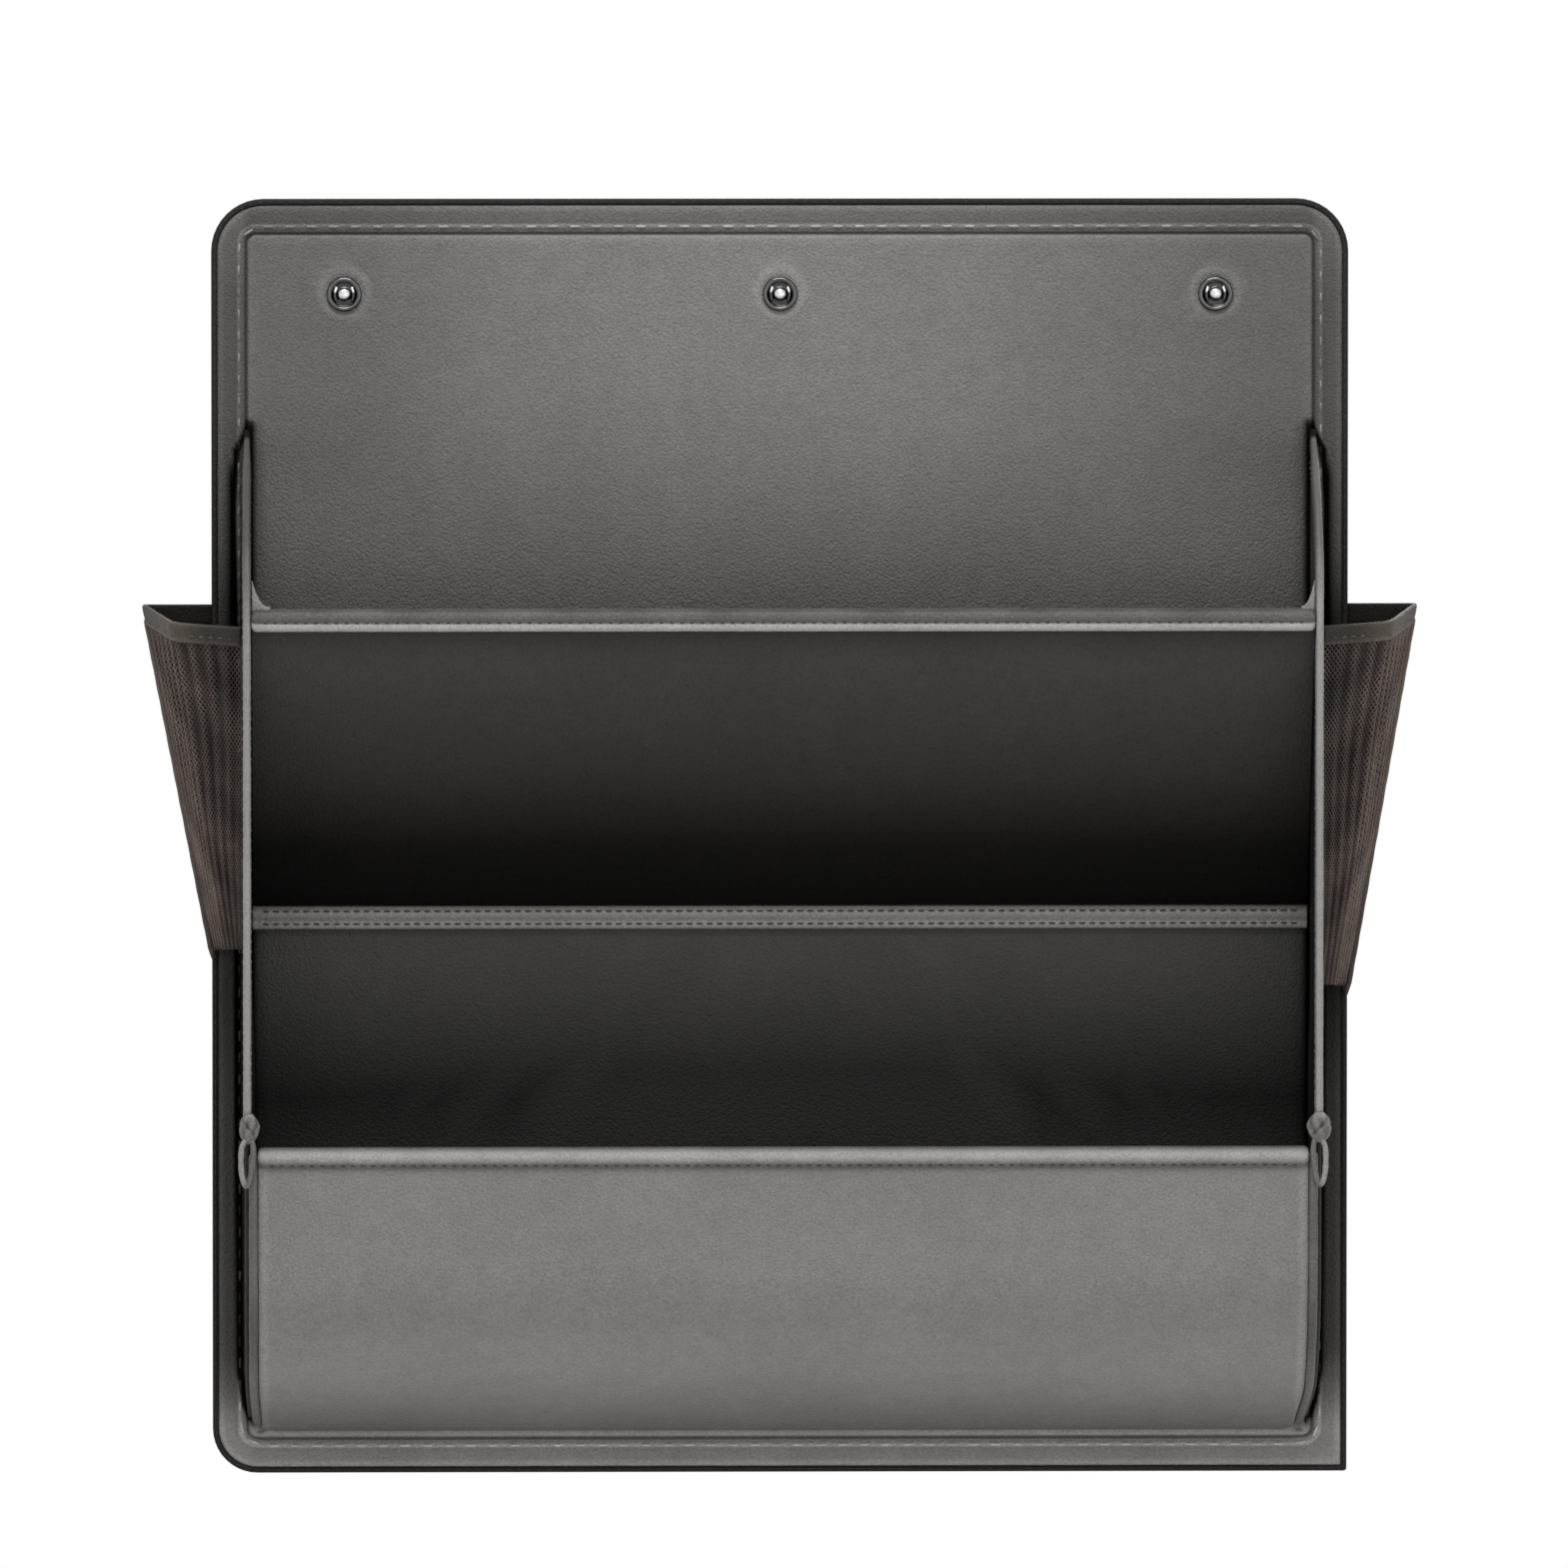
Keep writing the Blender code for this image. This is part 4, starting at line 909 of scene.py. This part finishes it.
def makeUpperFront():
    half = pocket["upperHalfWidth"]
    radius, edge = upper["turnIn"], frontSheet["half"]
    top = slabLength - pocket["lipHeight"] / 2 + lip["slotUp"] - lip["slotPlay"]
    foot = math.pi * radius
    facing = (0, -math.cos(leanAngle), -math.sin(leanAngle))

    def place(u, v):
        x = u - half
        onFlat = np.minimum(v, top)
        turn = np.clip((v - top) / radius, 0, math.pi)
        across = radius * np.cos(turn)
        along = top - onFlat - radius * np.sin(turn)
        inwards = np.minimum(u, 2 * half - u)
        swell = upper["bulge"] * np.sin(math.pi * np.clip(onFlat / top, 0, 1)) ** 0.8 * smoothStep(inwards / 0.05)
        swell = swell + 0.00022 * np.sin(31 * x + 40 * v) * np.sin(52 * v) * smoothStep(inwards / 0.03)
        across = across + np.where(v < top, swell, 0)
        depth, z = leaned(across, along)
        return x, depth, z

    us = edgeLines(2 * half, edge, 0.006)
    flat = edgeLines(top, edge, 0.0045)[:-3]
    vs = np.concatenate([flat, np.linspace(flat[-1] + 0.002, top, 3), top + np.linspace(0.0006, foot, 9)])
    obj = sheetPiece("upperFrontLeather", us, vs, place, frontSheet["thickness"], facing)
    # painted shade down the front
    setTone(obj, tableAt(heights(obj), upper["frontTone"]))
    finishPiece(obj, looks["shadeLeather"], "upper_front", ["upper_front_face"])

    def placeLining(u, v):
        ripple = 0.00012 * np.sin(60 * u + 3) * np.sin(45 * v)
        depth, z = leaned(-radius + ripple, upper["play"] + v)
        return u - half, depth, z

    us, vs = edgeLines(2 * half, edge, 0.012), edgeLines(top - upper["play"], edge, 0.010)
    inner = sheetPiece("upperFrontLining", us, vs, placeLining, frontSheet["thickness"], facing)
    finishPiece(inner, looks["liningCloth"], "upper_front", ["upper_front_lining"])

    low = slabLength - pocket["lipHeight"] / 2 - lip["upperDrop"]
    slotUp = lip["slotUp"] + lip["upperDrop"]
    makeLip("upperLip", "upper", half, lambda a, b: leaned(a, low + b), slotUp, "upper_front", ["upper_lip"])
    a, b = lip["upperRow"]
    row = acrossRow(half, *leaned(a, low + b), facing)
    stitchRow("upperLipStitches", [row], looks["darkThread"], "upper_front", size=0.7)

    for sideName, sign in sides:
        width = upper["earWidth"][sideName]

        def placeEar(u, v):
            # a mitred tab rising towards the side wall in a hollow curve
            across = u / width
            height = 0.0045 + upper["earHeight"] * (1 - across) ** 2.5
            depth, z = leaned(-0.0006, low + 0.0055)
            share = v / upper["earLength"]
            return sign * (half - 0.0001 - u), depth + 0.0004 * np.sin(3 * share), z + height * share

        us, vs = edgeLines(width, 0.0012, 0.0008), edgeLines(upper["earLength"], 0.0012, 0.0016)
        ear = sheetPiece(sideName + "LipEar", us, vs, placeEar, upper["earThickness"], (0, -1, 0))
        setTone(ear, 0.05 - 0.30 * smoothStep((heights(ear) - 0.106) / 0.012))
        finishPiece(ear, looks["frontLeather"], "upper_front", ["upper_lip"])

    strip = {"top": -0.0314, "height": 0.0110, "depth": 0.0070, "thickness": 0.0018, "rowDepth": 0.0079}

    def placeStrip(u, v):
        return u - half, strip["depth"], strip["top"] - v

    def ridges(u, v):
        return 0.00055 * (bump(v, 0.0055, 0.0022) + bump(v, 0.0005, 0.002) + bump(v, 0.0105, 0.002)) - 0.0002

    us, vs = edgeLines(2 * half, 0.0009, 0.008), edgeLines(strip["height"], 0.0009, 0.0006)
    seam = sheetPiece("upperSeamStrip", us, vs, placeStrip, strip["thickness"], (0, -1, 0), ridges)
    away = strip["top"] - heights(seam)
    ridge = bump(away, 0.0030, 0.0026) + bump(away, 0.0080, 0.0026)
    # the strip is painted paler than its darkened leather, with painted highlights along its ridges
    setTone(seam, -1.6 - 1.2 * ridge)
    finishPiece(seam, looks["shadeLeather"], nodes=["upper_seam_strip"])
    rows = [acrossRow(half, strip["rowDepth"], z) for z in stitch["seamRows"]]
    stitchRow("seamStripStitches", rows, looks["darkThread"])


makeUpperFront()
print("upper pocket ready")


lower = {
    "edgeRoll": 0.0011, "rollReach": 0.007, "sag": 0.00035, "liningInset": 0.0022,
    # (height, tone) of painted light and shade down the belly: darker where it curves under to the bottom seam, a
    # little paler above
    "heightTone": [
        (-0.272, 0.42), (-0.262, 0.3), (-0.252, 0.12), (-0.24, -0.06), (-0.224, -0.14), (-0.2, -0.07),
        (-0.15, -0.02),
    ],
}


def makeLowerFront():
    half = pocket["lowerHalfWidth"]
    low = pocket["lowerLipZ"] - pocket["lipHeight"] / 2
    top = low + lip["slotUp"] - lip["slotPlay"]
    rim = frontSheet["half"]
    route = [(pocket["depth"] - rim, top)] + bellyEdge(rim, steps=40)
    path = smoothPath([(0, depth, z) for depth, z in route], 0.0030)
    run = alongRun(path)
    length = float(run[-1])
    slope = np.gradient(path, axis=0)
    slope /= np.linalg.norm(slope, axis=1, keepdims=True)

    def place(u, v):
        x = u - half
        depth, z = np.interp(v, run, path[:, 1]), np.interp(v, run, path[:, 2])
        dd, dz = np.interp(v, run, slope[:, 1]), np.interp(v, run, slope[:, 2])
        edge = np.minimum(u, 2 * half - u)
        # outwards is (-dz, dd) in (depth, z)
        roll = -lower["edgeRoll"] * (1 - smoothStep(edge / lower["rollReach"])) * smoothStep(v / 0.03)
        within = smoothStep((v - 0.02) / 0.05) * smoothStep((length - v) / 0.03)
        sag = lower["sag"] * np.sin(27 * x + 1) * np.sin(38 * v + 11 * x) * within
        out = roll + sag
        return drawnIn(x, z, half), depth - dz * out, z + dd * out

    extra = 0.0016 + 0.0013 * np.arange(4)
    us = np.sort(np.concatenate([edgeLines(2 * half, rim, 0.0055), extra, 2 * half - extra]))
    vs = edgeLines(length, rim, 0.0042)
    skin = sheetPiece("lowerFrontLeather", us, vs, place, frontSheet["thickness"], (0, -1, -0.3))
    co = readPoints(skin)
    # painted shadow under the lip, painted light and shade down the belly, and painted shade on the rolled side edges
    # with a painted highlight beside them
    near = np.clip((co[:, 2] - (low - 0.0012)) / 0.0014, 0, 1)
    edge = half - np.abs(co[:, 0])
    rolled = 0.35 * bump(edge, 0.0, 0.0011) - 0.24 * bump(edge, 0.0030, 0.0026)
    setTone(skin, 0.55 * near + tableAt(co[:, 2], lower["heightTone"]) + rolled)
    finishPiece(skin, looks["frontLeather"], nodes=["lower_front_face", "lower_base"], folds=True)

    inset = lower["liningInset"]
    inner = smoothPath([(0, depth, z) for depth, z in bellyEdge(inset, steps=40)], 0.004)
    innerRun = alongRun(inner)

    def placeBase(u, v):
        z = np.interp(v, innerRun, inner[:, 2])
        return drawnIn(u - half, z, half), np.interp(v, innerRun, inner[:, 1]), z

    vs = edgeLines(innerRun[-1], 0.0006, 0.006)
    base = sheetPiece("lowerBaseLining", edgeLines(2 * half, 0.0006, 0.016), vs, placeBase, 0.0012, (0, -1, -0.3))
    finishPiece(base, looks["liningCloth"], nodes=["lower_base"], folds=True)

    slabLow = pocket["baseTopZ"] + 0.0003

    def placeLining(u, v):
        return u - half, pocket["depth"] - 0.00395 + 0.0001 * np.sin(50 * u) * np.sin(70 * v), slabLow + v

    size = top - slabLow
    us, vs = edgeLines(2 * half, rim, 0.012), edgeLines(size, rim, 0.008)
    inner = sheetPiece("lowerFrontLining", us, vs, placeLining, frontSheet["thickness"], (0, -1, 0))
    finishPiece(inner, looks["liningCloth"], "lower_front", ["lower_front_lining"])

    middle = pocket["depth"] - pocket["frontHalf"]
    makeLip("lowerLip", "lower", half, lambda a, b: (middle + a, low + b), lip["slotUp"], "lower_front", ["lower_lip"])
    a, b = lip["lowerRow"]
    stitchRow("lowerLipStitches", [acrossRow(half, middle + a, low + b)], looks["darkThread"],
              "lower_front", size=0.85)

    def placeStrip(u, v):
        return u - half, 0.00685, -0.2604 - v

    us, vs = edgeLines(2 * half, 0.0007, 0.012), edgeLines(0.008, 0.0007, 0.001)
    strip = sheetPiece("lowerSeamStrip", us, vs, placeStrip, 0.0014, (0, -1, 0),
                       lambda u, v: 0.0003 * bump(v, 0.004, 0.003))
    finishPiece(strip, looks["wallLeather"], nodes=["lower_seam_strip"])
    stitchRow("lowerSeamStitches", [acrossRow(half, 0.0077, stitch["footRow"])], looks["darkThread"])


makeLowerFront()
print("lower pocket ready")


piping = {"radius": 0.0021, "inset": 0.0030, "runShare": 0.972, "endShare": 0.2236}
knot = {
    "x": {"left": 0.2429, "right": 0.2437}, "z": -0.1279, "height": 0.0136, "depth": 0.0847,
    "loopShift": {"left": 0.0, "right": -0.0009}, "swell": {"left": 0.84, "right": 1.0}, "flat": 0.86,
    "grid": (26, 48),
    # (share of the height from the top, half width)
    "profile": [
        (0.0, 0.0018), (0.07, 0.0029), (0.16, 0.0041), (0.28, 0.0048), (0.46, 0.0052), (0.65, 0.005),
        (0.8, 0.0043), (0.92, 0.0031), (1.0, 0.0018),
    ],
    # (outwards, height) round the loop, from the bud's outer side back to its inner side
    "loop": [
        (0.001, -0.1325), (0.0034, -0.1355), (0.0037, -0.14), (0.0037, -0.145), (0.0033, -0.1492),
        (0.0022, -0.153), (0.0011, -0.1545), (-0.0001, -0.1525), (-0.0009, -0.148), (-0.0017, -0.143),
        (-0.0021, -0.138), (-0.0014, -0.133),
    ],
    "loopRadius": 0.00115,
}


def makePiping(sideName, sign):
    x = side["x"] - piping["inset"]
    belly = bellyEdge(piping["radius"], piping["runShare"], 40)
    route = [(belly[0][0], pocket["lowerLipZ"] + 0.0030)] + belly
    path = smoothPath([(sign * (x - float(footDraw(sideName, z))), -depth, z) for depth, z in route], 0.0024)

    def section(i):
        # wrapped leather, slightly uneven and closing towards both ends
        radius = piping["radius"] * (1 + 0.025 * math.sin(i * 1.7) + 0.02 * math.sin(i * 0.43))
        close = max(piping["endShare"], roundEnd(min(i, len(path) - 1 - i) / 1.5))
        return [(a * close, b * close) for a, b in roundSection(radius, 16)]

    obj = sweepPiece(sideName + "SeamPiping", path, (1, 0, 0), section)
    z = heights(obj)
    setTone(obj, 0.46 + 0.12 * np.sin(z * 90) * np.sin(z * 37))
    finishPiece(obj, looks["frontLeather"], nodes=[sideName + "_seam_piping"], folds=True)


def roundCorners(points, times):
    # Cuts the corners of an open path again and again, keeping its ends.
    for _ in range(times):
        path = [points[0]]
        for a, b in zip(points[:-1], points[1:]):
            path += [tuple((1 - t) * p + t * q for p, q in zip(a, b)) for t in (0.25, 0.75)]
        points = path + [points[-1]]
    return points


def makeKnot(sideName, sign):
    points, tones = [], []
    rings, around = knot["grid"]
    shares, halves = np.array(knot["profile"]).T
    nearby = np.linspace(-0.06, 0.06, 7)
    for i in range(rings + 1):
        t = i / rings
        half = float(np.interp(t + nearby, shares, halves).mean()) * knot["swell"][sideName]
        z = knot["z"] + knot["height"] * (0.5 - t)
        full = math.sin(math.pi * min(1, t * 1.08)) ** 0.7
        for k in range(around):
            # pleats twist round the bud, with one deep crease across its front
            turn = 2 * math.pi * k / around
            pleat = 1 + full * (0.11 * math.cos(5 * turn + 7.5 * t) + 0.04 * math.sin(9 * turn - 4 * t))
            crease = 1 - 0.18 * full * math.exp(-(math.sin((turn - math.pi / 2 - 3.2 * (t - 0.5)) / 2) / 0.12) ** 2)
            radius = half * pleat * crease
            x, depth = radius * math.cos(turn), radius * knot["flat"] * math.sin(turn)
            points.append((sign * (knot["x"][sideName] + x), -(knot["depth"] + depth), z))
            # painted shade in the pleats' hollows and along the crease; paler at the top and towards the bottom
            tones.append(0.18 - 0.25 * t - 0.5 * max(0, 1 - t / 0.2) + 1.9 * (1 - pleat) + 2.2 * (1 - crease))
    bud = makeObject(sideName + "CornerKnot", points, ringFaces(rings + 1, around))
    setTone(bud, np.array(tones) + 0.15)
    finishPiece(bud, looks["frontLeather"], nodes=[sideName + "_corner_knot"], folds=True)

    loopDepth = pocket["depth"] + knot["loopRadius"] + 0.0003
    loopX = knot["x"][sideName] + knot["loopShift"][sideName]
    path = [(sign * (loopX + x), -loopDepth - 0.12 * x, z) for x, z in roundCorners(knot["loop"], 3)]
    path = smoothPath(path, 0.0009)
    last = len(path) - 1

    def section(i):
        radius = knot["loopRadius"] * (1 + 0.05 * math.sin(i * 0.9))
        close = 0.4 + 0.6 * roundEnd(min(i, last - i) / 3)
        return [(a * close * 0.9, b * close * 1.1) for a, b in roundSection(radius, 12)]

    loop = sweepPiece(sideName + "KnotLoop", path, (0, 1, 0), section)
    outwards = sign * readPoints(loop)[:, 0] - loopX
    # painted shade on the loop's inner side towards the wall, paler on its outer side
    setTone(loop, 0.30 - 0.75 * smoothStep((outwards - 0.0005) / 0.0025))
    finishPiece(loop, looks["frontLeather"], nodes=[sideName + "_corner_knot"], folds=True)


for sideName, sign in sides:
    makePiping(sideName, sign)
    makeKnot(sideName, sign)
print("piping and knots ready")


net = {
    "mouthZ": 0.107, "toeZ": {"left": -0.051, "right": -0.068}, "dip": 0.0078, "wallDepth": 0.062,
    # (x, depth) corners at the mouth and at the toe: side wall, fold, outer seam, panel edge
    "mouth": [(0.2462, 0.0620), (0.2773, 0.0500), (0.2910, 0.0034), (0.2598, 0.0034)],
    "toe": [(0.2462, 0.0078), (0.2540, 0.0078), (0.2603, 0.0070), (0.2598, 0.0034)],
    "cell": (0.0023, 0.0031), "strand": 0.00068, "gather": 0.0015, "gatherPitch": 0.0082,
    "rearThickness": 0.0009, "fullness": 1.2,
    "pipingRadius": 0.0012, "tail": (0.2590, 0.0077, 0.0045),
    "bandHeight": 0.0094, "rowUp": 0.0034, "bandThickness": 0.0024, "startFall": 0.030, "innerTone": 0.8,
}


def softFold(ends):
    # The fold between the net's front and its outer side is a round one.
    wallEnd, foldAt, seam, edge = (np.array(spot) for spot in ends)
    start, stop = foldAt + 0.20 * (wallEnd - foldAt), foldAt + 0.14 * (seam - foldAt)
    return np.array([wallEnd, *bend(start, foldAt, stop, 5), seam, edge])


def spotsAlong(corners):
    run = alongRun(corners)
    return run / run[-1], float(run[-1])


def netSurface(sideName, corners, toes, share, fall):
    # share runs 0 to 1 along the mouth, fall 0 at the mouth and 1 at the toe
    spots = spotsAlong(corners)[0]
    upperX, upperDepth = np.interp(share, spots, corners[:, 0]), np.interp(share, spots, corners[:, 1])
    lowX, lowDepth = np.interp(share, spots, toes[:, 0]), np.interp(share, spots, toes[:, 1])
    start = net["mouthZ"] - net["dip"] * upperDepth / net["wallDepth"]
    x = upperX + (lowX - upperX) * fall
    depth = upperDepth + (lowDepth - upperDepth) * fall
    return x, depth, start + (net["toeZ"][sideName] - start) * fall


def makeNetFront(sideName, sign, corners, toes):
    mouth, toe = spotsAlong(corners)[1], spotsAlong(toes)[1]
    height = net["mouthZ"] - net["toeZ"][sideName]
    shape = bmesh.new()
    columns, rows = round(mouth / net["cell"][0]), round(height / net["cell"][1])
    bmesh.ops.create_grid(shape, x_segments=columns, y_segments=rows, size=1)
    inner = [edge for edge in shape.edges if len(edge.link_faces) == 2]
    bmesh.ops.poke(shape, faces=shape.faces[:])
    bmesh.ops.dissolve_edges(shape, edges=inner, use_verts=False)
    share = np.array([(vert.co.x + 1) / 2 for vert in shape.verts])
    fall = net["startFall"] + (1 - net["startFall"]) * np.array([(1 - vert.co.y) / 2 for vert in shape.verts])
    # the cloth drifts a little sideways as it hangs, and gathers in soft upright folds
    drift = 0.012 * np.sin(9 * fall + 5 * share) * np.sin(math.pi * share) * fall
    moves = [np.clip(share + drift + move, 0, 1) for move in (0, 0.02, -0.02)]
    here, ahead, behind = (np.stack(netSurface(sideName, corners, toes, move, fall), 1) for move in moves)
    way = (ahead - behind)[:, :2]
    way /= np.maximum(np.linalg.norm(way, axis=1, keepdims=True), 1e-9)
    turns = 2 * math.pi * share * mouth / net["gatherPitch"]
    wave = np.sin(turns + 1.5 * np.sin(6 * fall)) * (0.45 + 0.55 * np.sin(0.37 * turns + 4 * fall) ** 2)
    inside = np.sin(math.pi * np.clip(share, 0, 1)) ** 0.5
    amount = net["gather"] * wave * inside * smoothStep((fall - 0.03) / 0.12) * (1 - 0.75 * fall)
    here[:, 0] -= way[:, 1] * amount
    here[:, 1] += way[:, 0] * amount
    for vert, (x, depth, z) in zip(shape.verts, here):
        vert.co = Vector((sign * x, -depth, z))
    mesh = bpy.data.meshes.new(sideName + "NetFront")
    shape.to_mesh(mesh)
    shape.free()
    obj = linkObject(sideName + "NetFront", mesh)
    # painted highlights on the folds' crests, and paler down the outer side
    outerSide = smoothStep((share - spotsAlong(corners)[0][2]) / 0.12)
    uneven = 0.32 * np.sin(23 * fall + 9 * share) * np.sin(7 * fall + 3)
    setTone(obj, 0.12 - 0.62 * wave * inside - 0.45 * outerSide + uneven)
    step = obj.modifiers.new("strands", "WIREFRAME")
    step.thickness = net["strand"]
    step.use_boundary = True
    step.use_even_offset = True
    applyModifiers(obj)
    obj.data.shade_smooth()
    finishPiece(obj, looks["netCord"], nodes=[sideName + "_net_front"], folds=True)


def makeNetRear(sideName, sign, corners, toes):
    # A close net across the back, lying in the panel's plane.
    mouth, toe = spotsAlong(corners)[1], spotsAlong(toes)[1]
    height = net["mouthZ"] - net["toeZ"][sideName]

    def place(u, v):
        fall = net["startFall"] + (1 - net["startFall"]) * v / height
        x, depth, z = netSurface(sideName, corners, toes, u / mouth, fall)
        ripple = 0.0004 * np.sin(380 * u + 5 * fall) * np.sin(math.pi * u / mouth) * (1 - fall)
        return sign * x, depth + ripple, z

    obj = sheetPiece(sideName + "NetRear", edgeLines(mouth, 0.0005, 0.0012), edgeLines(height, 0.0005, 0.003), place,
                     net["rearThickness"], (0, 1, 0))
    finishPiece(obj, looks["closeNet"], nodes=[sideName + "_net_rear"], folds=True)


def makeNetPocket(sideName, sign):
    corners, toes = softFold(net["mouth"]), softFold(net["toe"])
    spots, length = spotsAlong(corners)
    height = net["mouthZ"] - net["toeZ"][sideName]
    bandFall = net["bandHeight"] / height
    seamAt = spots[-2] * length
    us = np.sort([u for u in edgeLines(length, 0.0012, 0.0022) if abs(u - seamAt) > 0.0007] + [seamAt])
    vs = edgeLines(net["bandHeight"], 0.0012, 0.0011)

    def place(u, v):
        x, depth, z = netSurface(sideName, corners, toes, u / length, v / height)
        ripple = 0.0003 * np.sin(u * 420) + 0.0002 * np.sin(u * 150 + 1)
        return sign * x, depth + ripple * smoothStep(u / 0.01) * smoothStep((length - u) / 0.04), z

    def hem(u, v):
        up = net["bandHeight"] - v
        return 0.00045 * bump(up, 0.0016, 0.0014) - 0.0002 * bump(up, net["rowUp"], 0.0008)

    band = sheetPiece(sideName + "NetBand", us, vs, place, net["bandThickness"], (sign * 0.3, -1, 0), hem)
    co = readPoints(band)
    falls = (net["mouthZ"] - net["dip"] * -co[:, 1] / net["wallDepth"] - co[:, 2]) / net["bandHeight"]
    # painted shade towards the wall, and painted highlights over the outer fold and along the foot
    outwards = (sign * co[:, 0] - corners[0][0]) / (corners[3][0] - corners[0][0])
    tone = 0.30 - 0.85 * bump(outwards, 1.05, 0.55) - 0.9 * bump(falls, 0.92, 0.16)
    # painted shade on the band's inner side
    tone[len(us) * len(vs):] = net["innerTone"]
    setTone(band, tone)
    finishPiece(band, looks["netHem"], nodes=[sideName + "_net_band"], folds=True)
    rowFall = (net["bandHeight"] - net["rowUp"]) / height
    rows = []
    for low, high, first in ((0.03, spots[1], 0), (spots[-3], spots[-2] - 0.03, -3)):
        way = corners[first + 1] - corners[first]
        out = np.array([-way[1], way[0]]) / np.linalg.norm(way)
        x, depth, z = netSurface(sideName, corners, toes, np.linspace(low, high, 12), rowFall)
        away = net["bandThickness"] / 2 - 0.0001
        path = np.stack([sign * (x + out[0] * away), -(depth + out[1] * away), z], 1)
        rows.append((path, (sign * out[0], -out[1], 0)))
    stitchRow(sideName + "NetBandStitches", rows, looks["thread"], folds=True, size=0.8,
              toneAt=lambda spot: 0.5)

    makeNetFront(sideName, sign, corners[:-1], toes[:-1])
    makeNetRear(sideName, sign, corners[:-3:-1], toes[:-3:-1])

    # thin piping down the outer seam, its end laid on the tape
    x, depth, z = netSurface(sideName, corners, toes, spots[-2], np.linspace(bandFall * 0.8, 1, 60))
    path = [(sign * (a + 0.0003), -b, c) for a, b, c in zip(x, depth, z)]
    tailX, tailDepth, tailDrop = net["tail"]
    end, tail = path[-1], (sign * tailX, -tailDepth, net["toeZ"][sideName] - tailDrop)
    path += [tuple(p + (q - p) * k / 4 for p, q in zip(end, tail)) for k in range(1, 5)]
    path = smoothPath(path, 0.0028)

    cord = sweepPiece(sideName + "NetPiping", path, (0, 1, 0),
                      lambda i: roundSection(net["pipingRadius"] * (1 + 0.06 * math.sin(i * 1.3))))
    # painted highlight, paler towards the top
    setTone(cord, -1.4 * smoothStep((heights(cord) + 0.06) / 0.12))
    finishPiece(cord, looks["netHem"], nodes=[sideName + "_net_piping"], folds=True)


for sideName, sign in sides:
    makeNetPocket(sideName, sign)
print("net pockets ready")


# nodes that keep their solid shape
kept = {
    "back_board": "greyBoard", "upper_front_board": "greyBoard", "lower_front_board": "greyBoard",
    **{"stud_washer_" + place: "washerSteel" for place in studs["x"]},
}
for node, look in kept.items():
    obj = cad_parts[node]
    for slot in obj.material_slots:
        slot.material = looks[look]


floor = {"z": -0.60, "front": -1.6, "back": 1.0, "half": 1.6, "color": (0.82, 0.82, 0.81)}
light = {
    "key": {"at": (-0.16, -1.10, 2.05), "size": (1.4, 0.8), "power": 38},
    "fill": {"at": (0.9, -2.2, 0.35), "size": (1.6, 1.6), "power": 5},
    "rear": {"at": (0.6, 2.0, 1.0), "size": (1.6, 1.4), "power": 26},
    "world": 0.39,
}
camera = {"target": (0.00195, 0.0, 0.0237), "azimuth": -1.22, "elevation": 3.45, "distance": 10.0, "lens": 501.3}


def makeStage():
    bpy.ops.mesh.primitive_grid_add(x_subdivisions=2, y_subdivisions=2, size=2)
    ground = bpy.context.object
    ground.name = "floor"
    ground.scale = (floor["half"], (floor["back"] - floor["front"]) / 2, 1)
    ground.location = (0, (floor["back"] + floor["front"]) / 2, floor["z"])
    ground.data.materials.append(newMaterial("floorPaint", floor["color"], 0.9, 0.1).material)


def addLight(name, values):
    data = bpy.data.lights.new(name, "AREA")
    data.shape = "RECTANGLE"
    data.size, data.size_y = values["size"]
    data.energy = values["power"]
    lamp = linkObject(name, data)
    lamp.location = values["at"]
    lamp.rotation_euler = (-Vector(values["at"])).to_track_quat("-Z", "Y").to_euler()


def makeWorld():
    world = bpy.data.worlds.new("studio")
    bpy.context.scene.world = world
    world.use_nodes = True
    world.node_tree.nodes.clear()
    paint = SimpleNamespace(nodes=world.node_tree.nodes, link=world.node_tree.links.new)
    white = (1, 1, 1, 1)
    seen = addNode(paint, "Background", {"Strength": 1.0, "Color": white})[0]
    soft = addNode(paint, "Background", {"Strength": light["world"], "Color": white})[0]
    rays = addNode(paint, "LightPath", {})
    glossy = doMath(paint, "MAXIMUM", rays["Is Glossy Ray"], rays["Is Transmission Ray"])
    share = doMath(paint, "MAXIMUM", rays["Is Camera Ray"], glossy)
    mixed = addNode(paint, "MixShader", {0: share, 1: soft, 2: seen})[0]
    addNode(paint, "OutputWorld", {"Surface": mixed})


def makeCamera():
    azimuth, elevation = math.radians(camera["azimuth"]), math.radians(camera["elevation"])
    level = math.cos(elevation)
    back = Vector((math.sin(azimuth) * level, -math.cos(azimuth) * level, math.sin(elevation)))
    data = bpy.data.cameras.new("photoCamera")
    data.sensor_width = 36
    data.lens = camera["lens"]
    data.clip_end = 100
    eye = linkObject("photoCamera", data)
    eye.location = Vector(camera["target"]) + back * camera["distance"]
    eye.rotation_euler = (-back).to_track_quat("-Z", "Y").to_euler()
    bpy.context.scene.camera = eye


makeStage()
for name in ("key", "fill", "rear"):
    addLight(name + "Light", light[name])
makeWorld()
makeCamera()
bpy.context.scene.view_settings.view_transform = "Standard"
print("stage ready")
